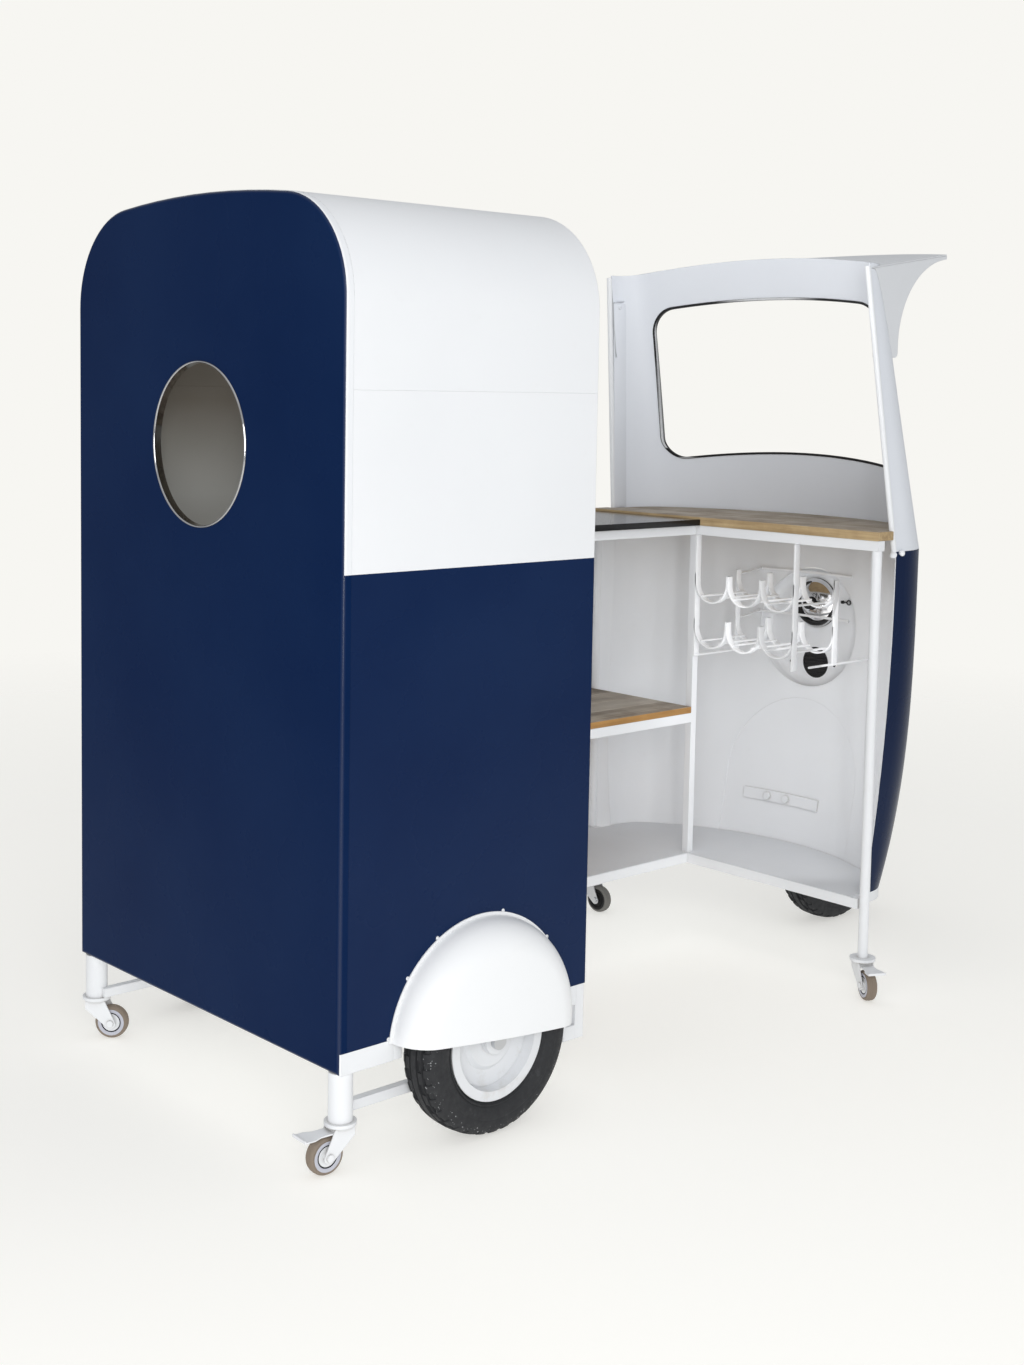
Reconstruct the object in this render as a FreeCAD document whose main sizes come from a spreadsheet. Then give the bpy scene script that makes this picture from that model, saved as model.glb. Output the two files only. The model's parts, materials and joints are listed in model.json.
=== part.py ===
import FreeCAD, Part
import math
import operator
import os
from types import SimpleNamespace

import Sketcher

# A bar made from a three-wheeler: a closed cabinet at the back, a counter along the far side,
# and the nose of the cab at the front. X runs forward, Y to the far side, Z up, in millimetres.
# The origin is on the floor, in the middle of the whole bar. Pieces are laid out about the cabinet's
# middle plane and then moved aside together, because one castor's pedal reaches out on the near side.

sizes = {
    # cabinet
    "cabinet_back": -1111.32,
    "centre_shift": 14.02,
    "cabinet_depth": 650.0,
    "cabinet_width": 955.0,
    "skirt_height": 193.0,
    "base_rail": 42.0,
    "paint_line": 1133.0,
    "roof_seam": 1470.0,
    "roof_spring": 1634.0,
    "roof_corner": 205.0,
    "roof_crest": 1853.0,
    "skin": 3.0,
    "tube": 25.0,
    "panel_turn": 20.0,
    "panel_bend": 9.0,
    "porthole_radius": 166.0,
    "porthole_height": 1355.0,
    "trim_lip": 4.5,
    "trim_depth": 14.0,
    "board": 18.0,
    "low_shelf": 640.0,
    "high_shelf": 1095.0,
    "floor_sheet": 2.0,
    # road wheels
    "wheel_setback": 362.0,
    "wheel_proud": 10.0,
    "tyre_radius": 190.0,
    "tyre_width": 92.0,
    "tread_groove": 4.0,
    "rim_radius": 120.0,
    "rim_seat": 104.0,
    "rim_width": 72.0,
    "rim_wall": 4.0,
    "hub_radius": 28.0,
    "axle_radius": 10.0,
    "running_gap": 0.05,
    "side_gap": 0.3,
    "arch_radius": 222.0,
    "arch_height": 205.0,
    "guard_back": 8.0,
    "guard_radius": 235.0,
    "guard_dome": 228.0,
    "guard_shoulder": 66.0,
    "guard_bulge": 76.0,
    "guard_sheet": 2.5,
    "tub_radius": 232.0,
    "tub_depth": 75.0,
    # legs and castors
    "leg_radius": 24.0,
    "leg_inset": 26.0,
    "strut_inset": 42.0,
    "strut_width": 18.0,
    "strut_low": 98.0,
    "strut_tall": 20.0,
    "post_foot": 118.0,
    "foot_plate": 58.0,
    "castor_height": 97.0,
    "castor_plate": 7.0,
    "castor_plate_radius": 31.5,
    "castor_radius": 37.5,
    "castor_width": 28.0,
    "castor_trail": 35.0,
    "castor_hub": 24.0,
    "fork_sheet": 3.0,
    "fork_top": 3.5,
    "fork_radius": 27.0,
    "kingpin_radius": 6.0,
    "castor_bolt": 4.0,
    "pedal_reach": 92.0,
    "pedal_pivot": 18.0,
    "pedal_pin": 2.5,
    # side counter
    "bar_length": 960.0,
    "nose_offset": -20.0,
    "inner_post": 109.0,
    "corner_post": 20.0,
    "floor_rail": 216.0,
    "shelf_rail": 598.0,
    "counter_rail": 1101.0,
    "wood_top": 22.0,
    "black_top": 16.0,
    "shelf_board": 17.0,
    "top_lip": 15.0,
    # nose, measured ahead of the counter's front line
    "nose_low_tuck": 37.5,
    "nose_low_edge": 43.0,
    "nose_low_run": 20.0,
    "nose_low_corner": 122.0,
    "nose_low_front": 297.0,
    "nose_knee": 500.0,
    "nose_knee_tuck": 11.5,
    "nose_knee_edge": 50.0,
    "nose_knee_run": 38.0,
    "nose_knee_corner": 180.0,
    "nose_knee_front": 335.0,
    "nose_chest": 800.0,
    "nose_chest_tuck": 2.5,
    "nose_chest_edge": 66.0,
    "nose_chest_run": 40.0,
    "nose_chest_corner": 186.0,
    "nose_chest_front": 366.0,
    "belt": 1096.0,
    "belt_tuck": 2.5,
    "belt_edge": 73.0,
    "belt_run": 40.0,
    "belt_corner": 180.0,
    "belt_front": 385.0,
    "sill": 1330.0,
    "sill_run": 32.0,
    "sill_corner": 140.0,
    "sill_front": 285.0,
    "brow": 1840.0,
    "brow_tuck": 50.5,
    "brow_edge": -20.0,
    "brow_run": 12.0,
    "brow_corner": 70.0,
    "brow_front": 104.0,
    "brow_arch": 2700.0,
    "brow_crown": 1825.0,
    "window_low_half": 405.0,
    "window_high_half": 383.0,
    "window_low": 1311.5,
    "window_low_arch": 2500.0,
    "window_high": 1726.0,
    "window_corner": 80.0,
    "window_heel": 55.0,
    "window_lean": 0.0764,
    "seal_lip": 2.0,
    "seal_width": 6.0,
    "pillar_radius": 7.0,
    "pillar_top": 1784.0,
    "pillar_ball": 9.0,
    # visor
    "visor_reach": 4.0,
    "visor_back": -5.0,
    "visor_back_crest": 1809.0,
    "visor_back_crown": 30.0,
    "visor_front": 370.0,
    "visor_front_crest": 1843.0,
    "visor_front_crown": 5.0,
    "visor_bow": 1700.0,
    "visor_nose": 360.0,
    "cheek_low": 1568.0,
    "cheek_curve": 220.0,
    "cheek_curve_x": 331.0,
    "cheek_curve_z": 1600.0,
    # lamp, horn and what is bolted to the nose
    "nacelle_height": 835.0,
    "nacelle_radius": 165.0,
    "nacelle_back": 318.0,
    "nacelle_front": 394.0,
    "nacelle_edge": 24.0,
    "lamp_height": 902.0,
    "lamp_hole": 62.0,
    "bezel_radius": 76.0,
    "bezel_depth": 24.0,
    "horn_height": 735.0,
    "horn_radius": 43.0,
    "horn_screw": 3.0,
    "horn_screw_span": 70.0,
    "emboss_half": 218.0,
    "emboss_spring": 421.0,
    "emboss_step": 2.0,
    "bracket_height": 357.0,
    "bracket_mid": 36.0,
    "bracket_half": 123.0,
    "bracket_tall": 30.0,
    "bracket_first": 83.0,
    "bracket_second": 22.0,
    "bolt_radius": 5.0,
    # bottle rack
    "cradle_pitch": 110.0,
    "rack_depth": 167.0,
    "strap": 3.0,
    "strap_width": 14.0,
    "high_cradle": 922.0,
    "low_cradle": 802.0,
    "prong_rise": 76.0,
    "rack_foot": 776.0,
    "rod_radius": 3.0,
    "strip_drop": 12.0,
    "strip_far": 176.0,
    "strip_near": 135.0,
    # front wheel
    "front_wheel": 490.0,
    "fork_plate": 100.0,
    "fork_half": 76.0,
    "fork_arm": 8.0,
    "front_guard_radius": 215.0,
    "front_guard_half": 70.0,
    "front_guard_skirt": 28.0,
    "front_guard_angle": 84.0,
}

castor_turns = {"rear_near": 176.0, "rear_far": -45.0, "front_near": -121.0, "front_far": -86.0}
braked_castors = ("rear_near", "front_near")

doc = FreeCAD.newDocument("TukTukBar")
sheet = doc.addObject("Spreadsheet::Sheet", "dims")
for row, (alias, number) in enumerate(sizes.items(), start=1):
    sheet.set(f"A{row}", alias)
    sheet.set(f"B{row}", str(number))
    sheet.setAlias(f"B{row}", alias)
doc.recompute()


class Size:
    # a number together with the sheet expression that gives it
    def __init__(self, number, text):
        self.number = number
        self.text = text

    def __add__(self, other):
        return joined(self, "+", other)

    def __radd__(self, other):
        return joined(other, "+", self)

    def __sub__(self, other):
        return joined(self, "-", other)

    def __rsub__(self, other):
        return joined(other, "-", self)

    def __mul__(self, other):
        return joined(self, "*", other)

    def __rmul__(self, other):
        return joined(other, "*", self)

    def __truediv__(self, other):
        return joined(self, "/", other)

    def __neg__(self):
        return joined(0, "-", self)


signs = {"+": operator.add, "-": operator.sub, "*": operator.mul, "/": operator.truediv}


def as_size(value):
    return value if isinstance(value, Size) else Size(float(value), f"({float(value)})")


def joined(left, sign, right):
    left, right = as_size(left), as_size(right)
    return Size(signs[sign](left.number, right.number), f"({left.text} {sign} {right.text})")


def root(size):
    return Size(math.sqrt(size.number), f"sqrt({size.text})")


d = SimpleNamespace(**{alias: Size(number, f"dims.{alias}") for alias, number in sizes.items()})

half_width = d.cabinet_width / 2
cabinet_front = d.cabinet_back + d.cabinet_depth
counter_front = cabinet_front + d.bar_length
wheel_x = d.cabinet_back + d.wheel_setback
guard_x = wheel_x - d.guard_back
side_foot = d.skirt_height + d.base_rail
counter_height = d.counter_rail + d.tube
floor_top = d.floor_rail + d.tube
nose_mid = d.nose_offset
post_span = half_width - d.tube * 0.26
far_post = nose_mid + post_span
near_post = nose_mid - post_span
nose_low_half = half_width - d.nose_low_tuck
nose_knee_half = half_width - d.nose_knee_tuck
nose_chest_half = half_width - d.nose_chest_tuck
belt_half = half_width - d.belt_tuck
brow_half = half_width - d.brow_tuck
visor_half = brow_half + d.visor_reach
inner_rail = nose_mid + d.inner_post
asides = {}
turns = {"X": ((0, 1, 0), 90), "Y": ((1, 0, 0), -90), "Z": ((0, 0, 1), 0)}
nodes = []


def bind(thing, prop, size):
    thing.setExpression(prop, as_size(size).text)


def turned_to(axis):
    direction, degrees = turns[axis]
    return FreeCAD.Rotation(FreeCAD.Vector(*direction), degrees)


def place(thing, x=0, y=0, z=0, rotation=None):
    if rotation:
        thing.Placement = FreeCAD.Placement(FreeCAD.Vector(), rotation)
    for axis, size in zip("xyz", (x, y, z)):
        bind(thing, f"Placement.Base.{axis}", size)
    asides[thing.Name] = y
    return thing


def keep(thing, label):
    thing.Label = label
    bind(thing, "Placement.Base.y", asides.get(thing.Name, 0) + d.centre_shift)
    nodes.append(thing)
    return thing


# Plain solids and how they are put together

def bar(x0, x1, y0, y1, z0, z1):
    solid = doc.addObject("Part::Box", "Bar")
    for prop, low, high in (("Length", x0, x1), ("Width", y0, y1), ("Height", z0, z1)):
        bind(solid, prop, as_size(high) - low)
    return place(solid, x0, y0, z0)


def rod(radius, length, x, y, z, axis="Z"):
    solid = doc.addObject("Part::Cylinder", "Rod")
    bind(solid, "Radius", radius)
    bind(solid, "Height", length)
    return place(solid, x, y, z, turned_to(axis))


def group(pieces):
    bunch = doc.addObject("Part::Compound", "Group")
    bunch.Links = pieces
    return bunch


def fused(pieces):
    whole = doc.addObject("Part::MultiFuse", "Fused")
    whole.Shapes = pieces
    return whole


def shared(pieces):
    whole = doc.addObject("Part::MultiCommon", "Shared")
    whole.Shapes = pieces
    return whole


def without(base, tools):
    rest = doc.addObject("Part::Cut", "Cut")
    rest.Base = base
    rest.Tool = tools[0] if len(tools) == 1 else group(tools)
    return rest


# Sketches: a corner is (x, y), or (x, y, centre x, centre y) where an arc arrives at it

def draw(sketch, corners):
    first = sketch.GeometryCount
    corners = [tuple(as_size(part) for part in corner) for corner in corners]
    lines, rules, bound = [], [], []
    ends = []
    for i, corner in enumerate(corners):
        start = FreeCAD.Vector(corners[i - 1][0].number, corners[i - 1][1].number)
        end = FreeCAD.Vector(corner[0].number, corner[1].number)
        if len(corner) == 2:
            lines.append(Part.LineSegment(start, end))
            ends.append((1, 2))
            continue
        centre = FreeCAD.Vector(corner[2].number, corner[3].number)
        spoke, last = start - centre, end - centre
        circle = Part.Circle(centre, FreeCAD.Vector(0, 0, 1), spoke.Length)
        angles = (math.atan2(spoke.y, spoke.x), math.atan2(last.y, last.x))
        leftwards = spoke.x * last.y - spoke.y * last.x > 0
        lines.append(Part.ArcOfCircle(circle, *(angles if leftwards else angles[::-1])))
        ends.append((1, 2) if leftwards else (2, 1))
    sketch.addGeometry(lines, False)
    for i, corner in enumerate(corners):
        after = (i + 1) % len(corners)
        here = (first + i, ends[i][1])
        rules.append(Sketcher.Constraint("Coincident", *here, first + after, ends[after][0]))
        for word, size in (("DistanceX", corner[0]), ("DistanceY", corner[1])):
            bound.append((len(rules), size))
            rules.append(Sketcher.Constraint(word, *here, size.number))
        if len(corner) == 4:
            across, along = corner[0] - corner[2], corner[1] - corner[3]
            radius = root(across * across + along * along)
            bound.append((len(rules), radius))
            rules.append(Sketcher.Constraint("Radius", first + i, radius.number))
    start = sketch.ConstraintCount
    sketch.addConstraint(rules)
    for index, size in bound:
        bind(sketch, f"Constraints[{start + index}]", size)


def body_sketch(body, plane, loops):
    sketch = body.newObject("Sketcher::SketchObject", "Outline")
    origin = [feature for feature in body.Origin.OriginFeatures if feature.Role == plane][0]
    sketch.AttachmentSupport = [(origin, "")]
    sketch.MapMode = "FlatFace"
    for loop in loops:
        draw(sketch, loop)
    return sketch


def padded(plane, loops, depth, x=0, y=0, z=0, reverse=False):
    body = doc.addObject("PartDesign::Body", "Body")
    pad = body.newObject("PartDesign::Pad", "Pad")
    pad.Profile = body_sketch(body, plane, loops)
    pad.Reversed = reverse
    bind(pad, "Length", depth)
    body.Tip = pad
    return place(body, x, y, z)


def spun(plane, loop, x=0, y=0, z=0, degrees=360.0):
    body = doc.addObject("PartDesign::Body", "Body")
    spin = body.newObject("PartDesign::Revolution", "Spin")
    spin.Profile = body_sketch(body, plane, [loop])
    spin.ReferenceAxis = (spin.Profile[0], ["H_Axis"])
    spin.Midplane = True
    bind(spin, "Angle", degrees)
    body.Tip = spin
    return place(body, x, y, z)


def level_sketch(corners, x, y, z, rotation=None):
    sketch = doc.addObject("Sketcher::SketchObject", "Level")
    draw(sketch, corners)
    return place(sketch, x, y, z, rotation)


def lofted(sections, ruled=False):
    skin = doc.addObject("Part::Loft", "Loft")
    skin.Sections = sections
    skin.Solid = True
    skin.Ruled = ruled
    return skin


# A bow is the rounded line of the roof, the nose and the mudguards: two short straight ends,
# two corner arcs and a wide arc across the front, each tangent to the next

def bow(half, edge, run, corner, front):
    aside = half - corner
    hub = edge + run
    ahead = front - hub
    radius = (aside * aside + ahead * ahead - corner * corner) / (2 * (ahead - corner))
    back = front - radius
    reach = radius / (radius - corner)
    knee = back + (hub - back) * reach
    shoulder = aside * reach
    return [(edge, -half), (hub, -half), (knee, -shoulder, hub, -aside), (knee, shoulder, back, 0),
            (hub, half, hub, aside), (edge, half)]


def backwards(path):
    walked = [path[-1][:2]]
    for here, there in zip(path[::-1], path[-2::-1]):
        walked.append(there[:2] + here[2:])
    return walked


def upright(path):
    return [tuple(corner[i ^ 1] for i in range(len(corner))) for corner in path]


def band(half, edge, run, corner, front, outside, inside):
    outer = bow(half - outside, edge, run, corner - outside, front - outside)
    inner = bow(half - inside, edge, run, corner - inside, front - inside)
    return outer + backwards(inner)


# Cabinet: a turned rear panel, flat sides, a roof rolled over the top, and a tube frame inside

def roof_line(foot, outside, inside=None):
    run = d.roof_spring - foot
    line = (half_width, foot, run, d.roof_corner, d.roof_crest)
    if inside is not None:
        return upright(band(*line, as_size(outside), as_size(inside)))
    half, edge, length, corner, front = line
    return upright(bow(half - outside, edge, length, corner - outside, front - outside))


def rear_panel():
    body = padded("YZ_Plane", [roof_line(d.skirt_height, 0)], d.panel_turn)
    doc.recompute()
    rim = body.Tip
    edges = [f"Edge{i}" for i, edge in enumerate(rim.Shape.Edges, 1) if edge.BoundBox.XMax < 1e-6]
    bend = body.newObject("PartDesign::Fillet", "Bend")
    bend.Base = (rim, edges)
    bind(bend, "Radius", d.panel_bend)
    body.Tip = bend
    place(body, d.cabinet_back)
    hollow = padded("YZ_Plane", [roof_line(d.skirt_height + d.skin, d.skin)], d.panel_turn,
                    d.cabinet_back + d.skin)
    cuts = [hollow, rod(d.porthole_radius, d.panel_turn, d.cabinet_back - d.skin, 0, d.porthole_height, "X")]
    bend_end = d.cabinet_back + d.panel_bend
    for low in (-half_width, half_width - d.tube):
        cuts.append(bar(bend_end, bend_end + d.panel_turn, low, low + d.tube, d.skirt_height, side_foot))
    keep(without(body, cuts), "rear_panel")


def porthole_trim():
    sleeve = d.porthole_radius - d.skin
    lip = d.porthole_radius + d.trim_lip
    profile = [(-d.skin, sleeve), (-d.skin, lip), (0, lip), (0, d.porthole_radius),
               (d.trim_depth, d.porthole_radius), (d.trim_depth, sleeve)]
    keep(spun("XZ_Plane", profile, d.cabinet_back, 0, d.porthole_height), "porthole_trim")


def cabinet_skins():
    back = d.cabinet_back + d.panel_turn
    length = d.cabinet_depth - d.panel_turn
    keep(padded("YZ_Plane", [roof_line(d.roof_seam, 0, d.skin)], length, back), "roof_sheet")
    notch = side_foot - d.arch_height
    reach = root(d.arch_radius * d.arch_radius - notch * notch)
    side = [(back, side_foot), (guard_x - reach, side_foot),
            (guard_x + reach, side_foot, guard_x, d.arch_height), (cabinet_front, side_foot),
            (cabinet_front, d.paint_line), (back, d.paint_line)]
    for name, foot in (("near", -half_width), ("far", half_width - d.skin)):
        keep(padded("XZ_Plane", [side], d.skin, 0, foot, 0, True), f"lower_side_{name}")
        keep(bar(back, cabinet_front, foot, foot + d.skin, d.paint_line, d.roof_seam),
             f"upper_side_{name}")


def cabinet_frame():
    back = d.cabinet_back + d.panel_turn
    wall = half_width - d.skin
    inner = wall - d.tube
    front_post = cabinet_front - d.tube
    foot, top = d.skirt_height, side_foot
    rail_start = d.cabinet_back + d.panel_bend
    bars = [bar(back, back + d.tube, d.tube - half_width, half_width - d.tube, foot, top),
            bar(front_post, cabinet_front, -inner, inner, foot, top),
            bar(front_post, cabinet_front, -inner, inner, d.post_foot, d.post_foot + d.tube)]
    toe = cabinet_front - d.foot_plate
    sole = d.post_foot + d.tube * 1.2
    for side in (-1, 1):
        def across(x0, x1, near, far, z0, z1):
            low, high = (near, far) if side > 0 else (-far, -near)
            bars.append(bar(x0, x1, low, high, z0, z1))

        across(rail_start, guard_x - d.arch_radius, half_width - d.tube, half_width, foot, top)
        across(guard_x + d.arch_radius, front_post, half_width - d.tube, half_width, foot, top)
        across(front_post, cabinet_front, inner, wall, d.post_foot, d.roof_seam)
        across(toe, front_post, inner, wall, d.post_foot, sole)
        across(toe, toe + d.skin * 3, inner, wall, sole, foot)
        across(back, back + d.tube, inner, wall, top, d.roof_seam)
        for shelf in (d.low_shelf, d.high_shelf):
            across(back + d.tube, front_post, inner, wall, shelf - d.board - d.tube, shelf - d.board)
    keep(group(bars), "cabinet_frame")
    hoop = padded("YZ_Plane", [roof_line(d.roof_seam, d.skin, d.skin + d.tube)], d.tube, front_post)
    keep(hoop, "roof_hoop")


def cabinet_inside():
    back = d.cabinet_back + d.panel_turn
    wall = half_width - d.skin
    inner = wall - d.tube
    front_post = cabinet_front - d.tube
    rise = side_foot + d.floor_sheet
    notch = rise - d.arch_height
    tub_outer = d.tub_radius + d.floor_sheet
    foot = root(tub_outer * tub_outer - notch * notch)
    plate = bar(back, cabinet_front, -wall, wall, side_foot, rise)
    holes = []
    for side in (-1, 1):
        corner = inner if side > 0 else -wall
        holes.append(bar(back, back + d.tube, corner, corner + d.tube, d.skirt_height, d.paint_line))
        holes.append(bar(front_post, cabinet_front, corner, corner + d.tube, d.skirt_height, d.paint_line))
        edge = wall - d.tub_depth if side > 0 else -wall
        holes.append(bar(guard_x - foot, guard_x + foot, edge, edge + d.tub_depth,
                         d.skirt_height, d.paint_line))
    keep(without(plate, holes), "cabinet_floor")
    boards = []
    for shelf in (d.low_shelf, d.high_shelf):
        board = bar(back, cabinet_front, -wall, wall, shelf - d.board, shelf)
        posts = []
        for corner in (inner, -wall):
            posts.append(bar(back, back + d.tube, corner, corner + d.tube, shelf - d.board, shelf))
            posts.append(bar(front_post, cabinet_front, corner, corner + d.tube, shelf - d.board, shelf))
        boards.append(without(board, posts))
    keep(group(boards), "cabinet_shelves")
    for name, side in (("near", -1), ("far", 1)):
        low = wall - d.tub_depth if side > 0 else -wall
        hollow_low = low + d.floor_sheet if side > 0 else low
        shell = rod(tub_outer, d.tub_depth, guard_x, low, d.arch_height, "Y")
        hollow = rod(d.tub_radius, d.tub_depth - d.floor_sheet, guard_x, hollow_low, d.arch_height, "Y")
        below = bar(guard_x - d.guard_radius, guard_x + d.guard_radius, low, low + d.tub_depth,
                    -d.guard_radius, rise)
        keep(without(shell, [hollow, below]), f"wheel_tub_{name}")


# Road wheels: a ribbed tyre on a dished steel rim; w is measured outwards from the wheel's middle

def road_wheel(name, x, y, outward):
    half = d.tyre_width / 2
    seat = d.rim_width / 2 - d.rim_wall
    lip = d.rim_width / 2
    shoulder = half * 0.80
    crown = d.tyre_radius - d.tread_groove
    rib = half * 0.26
    gap = d.tread_groove
    groove = crown - gap
    widest = (d.rim_radius + d.tyre_radius) / 2
    swell, rise = half - seat, widest - d.rim_radius
    lower = half - (swell * swell + rise * rise) / (2 * swell)
    tuck, climb = half - shoulder, crown - widest
    upper = half - (tuck * tuck + climb * climb) / (2 * tuck)
    tyre = [(-seat, d.rim_seat), (-seat, d.rim_radius), (-half, widest, -lower, widest),
            (-shoulder, crown, -upper, widest), (-rib - gap, d.tyre_radius - 1), (-rib - gap, groove),
            (-rib, groove), (-rib, d.tyre_radius), (rib, d.tyre_radius), (rib, groove), (rib + gap, groove),
            (rib + gap, d.tyre_radius - 1), (shoulder, crown), (half, widest, upper, widest),
            (seat, d.rim_radius, lower, widest), (seat, d.rim_seat)]
    bore = d.axle_radius + d.running_gap
    disc = d.rim_seat - d.rim_wall
    rim = [(seat, d.rim_seat), (seat, d.rim_radius), (lip, d.rim_radius), (lip, disc),
           (d.rim_wall * 3, disc - d.rim_wall), (d.rim_wall * 2, d.hub_radius * 2.3),
           (d.rim_wall * 4, d.hub_radius * 2), (d.rim_wall * 4, d.hub_radius),
           (lip - d.rim_wall, d.hub_radius), (lip - d.rim_wall, bore), (-lip, bore), (-lip, d.hub_radius),
           (d.rim_wall, d.hub_radius), (d.rim_wall, disc - d.rim_wall), (-lip, disc), (-lip, d.rim_radius),
           (-seat, d.rim_radius), (-seat, d.rim_seat)]
    turn = FreeCAD.Rotation(FreeCAD.Vector(0, 0, 1), 0 if outward > 0 else 180)
    for word, loop in (("tyre", tyre), ("rim", rim)):
        body = spun("YZ_Plane", loop)
        keep(place(body, x, y, d.tyre_radius, turn), f"{word}_{name}")


def axle_line(length_in, length_out):
    # a rod with a collar inside the wheel and a nut outside it, from the wheel's middle outwards
    lip = d.rim_width / 2
    collar = d.axle_radius * 1.6
    inside, outside = -lip - d.side_gap, lip - d.rim_wall + d.side_gap
    return [(length_in, 0), (length_in, d.axle_radius), (inside - d.axle_radius, d.axle_radius),
            (inside - d.axle_radius, collar), (inside, collar), (inside, d.axle_radius),
            (outside, d.axle_radius), (outside, collar), (length_out, collar), (length_out, 0)]


def rear_axle():
    middle = half_width + d.wheel_proud
    nut = d.rim_width / 2 - d.rim_wall + d.side_gap + d.axle_radius
    halves = []
    for turn in (0, 180):
        side = 1 if turn == 0 else -1
        body = spun("YZ_Plane", axle_line(-middle, nut))
        rotation = FreeCAD.Rotation(FreeCAD.Vector(0, 0, 1), turn)
        halves.append(place(body, wheel_x, side * middle, d.tyre_radius, rotation))
    keep(fused(halves), "rear_axle")
    for name, side in (("near", -1), ("far", 1)):
        road_wheel(f"rear_{name}", wheel_x, side * middle, side)


def mudguards():
    sheet_in = d.guard_sheet
    dome = bow(d.guard_dome, d.guard_sheet, as_size(2), d.guard_shoulder, d.guard_bulge)
    inner = bow(d.guard_dome - sheet_in, as_size(0), as_size(2) + d.guard_sheet, d.guard_shoulder - sheet_in,
                d.guard_bulge - sheet_in)
    outer_half = [corner for corner in dome[3:]]
    inner_half = [corner for corner in inner[3:]]
    crest = (d.guard_bulge, 0)
    inner_crest = (d.guard_bulge - sheet_in, 0)
    loop = [crest, outer_half[0], outer_half[1], outer_half[2], (d.guard_sheet, d.guard_radius),
            (0, d.guard_radius)] + backwards(inner_half) + [inner_crest + inner_half[0][2:]]
    for name, side in (("near", -1), ("far", 1)):
        body = spun("YZ_Plane", loop, degrees=180.0)
        turn = FreeCAD.Rotation(FreeCAD.Vector(0, 0, 1), 0 if side > 0 else 180)
        keep(place(body, guard_x, side * half_width, d.arch_height, turn), f"mudguard_{name}")


# Rear legs and the struts that carry the rear axle

def rear_legs():
    pieces = []
    leg_x = d.cabinet_back + d.leg_inset
    for side in (-1, 1):
        leg_y = side * (half_width - d.leg_inset)
        low = half_width - d.strut_inset - d.strut_width if side > 0 else d.strut_inset - half_width
        leg = rod(d.leg_radius, d.skirt_height - d.castor_height, leg_x, leg_y, d.castor_height)
        strut_top = d.strut_low + d.strut_tall
        strut = bar(leg_x, cabinet_front, low, low + d.strut_width, d.strut_low, strut_top)
        bracket = bar(wheel_x - d.tube, wheel_x + d.tube, low, low + d.strut_width,
                      strut_top, d.tyre_radius + d.tube)
        hole = rod(d.axle_radius + d.running_gap, d.strut_width, wheel_x, low, d.tyre_radius, "Y")
        pieces += [leg, without(strut, [leg]), without(bracket, [hole])]
    keep(group(pieces), "rear_legs")


# Castors: a fixed plate with its kingpin, a fork that swivels on it, a wheel and a foot brake

def castor_places():
    rear_x = d.cabinet_back + d.leg_inset
    rear_y = half_width - d.leg_inset
    return {"rear_near": (rear_x, -rear_y), "rear_far": (rear_x, rear_y),
            "front_near": (counter_front, near_post), "front_far": (counter_front, far_post)}


def castor_plate(x, y):
    top = d.castor_height
    under = top - d.castor_plate
    fork_low = under - d.side_gap - d.fork_top
    head = fork_low - d.side_gap
    disc = rod(d.castor_plate_radius, d.castor_plate, x, y, under)
    pin = rod(d.kingpin_radius, under - head, x, y, head)
    cap = rod(d.kingpin_radius * 1.5, d.fork_top, x, y, head - d.fork_top)
    return fused([disc, pin, cap])


def castor_fork(braked):
    under = d.castor_height - d.castor_plate - d.side_gap
    low = under - d.fork_top
    inside = d.castor_width / 2 + d.castor_bolt * 0.625
    outside = inside + d.fork_sheet
    trail, axle = d.castor_trail, d.castor_radius
    eye = d.castor_bolt * 3
    slope = eye * math.sqrt(0.5)
    back = d.fork_radius * 0.8
    leg = [(-back, under), (back, under), (trail + eye, axle), (trail - slope, axle - slope, trail, axle),
           (-back, axle + eye * 2.7)]
    pieces = [rod(d.fork_radius, d.fork_top, 0, 0, low)]
    for face in (-outside, inside):
        pieces.append(padded("XZ_Plane", [leg], d.fork_sheet, 0, face, 0, True))
    bolt = fused([rod(d.castor_bolt, 2 * outside, trail, -outside, axle, "Y"),
                  rod(d.castor_bolt * 1.8, d.castor_bolt, trail, -outside - d.castor_bolt, axle, "Y"),
                  rod(d.castor_bolt * 1.8, d.castor_bolt, trail, outside, axle, "Y")])
    holes = [rod(d.kingpin_radius + d.running_gap, d.fork_top * 3, 0, 0, low - d.fork_top),
             rod(d.castor_bolt, 2 * outside, trail, -outside, axle, "Y")]
    parts = [bolt]
    if braked:
        pin = rod(d.pedal_pin, 2 * outside, d.pedal_pivot, -outside, pedal_height(), "Y")
        holes.append(rod(d.pedal_pin, 2 * outside, d.pedal_pivot, -outside, pedal_height(), "Y"))
        parts.append(pin)
    return group([without(fused(pieces), holes)] + parts)


def pedal_height():
    return 2 * d.castor_radius + d.fork_sheet + d.pedal_pin


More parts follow.
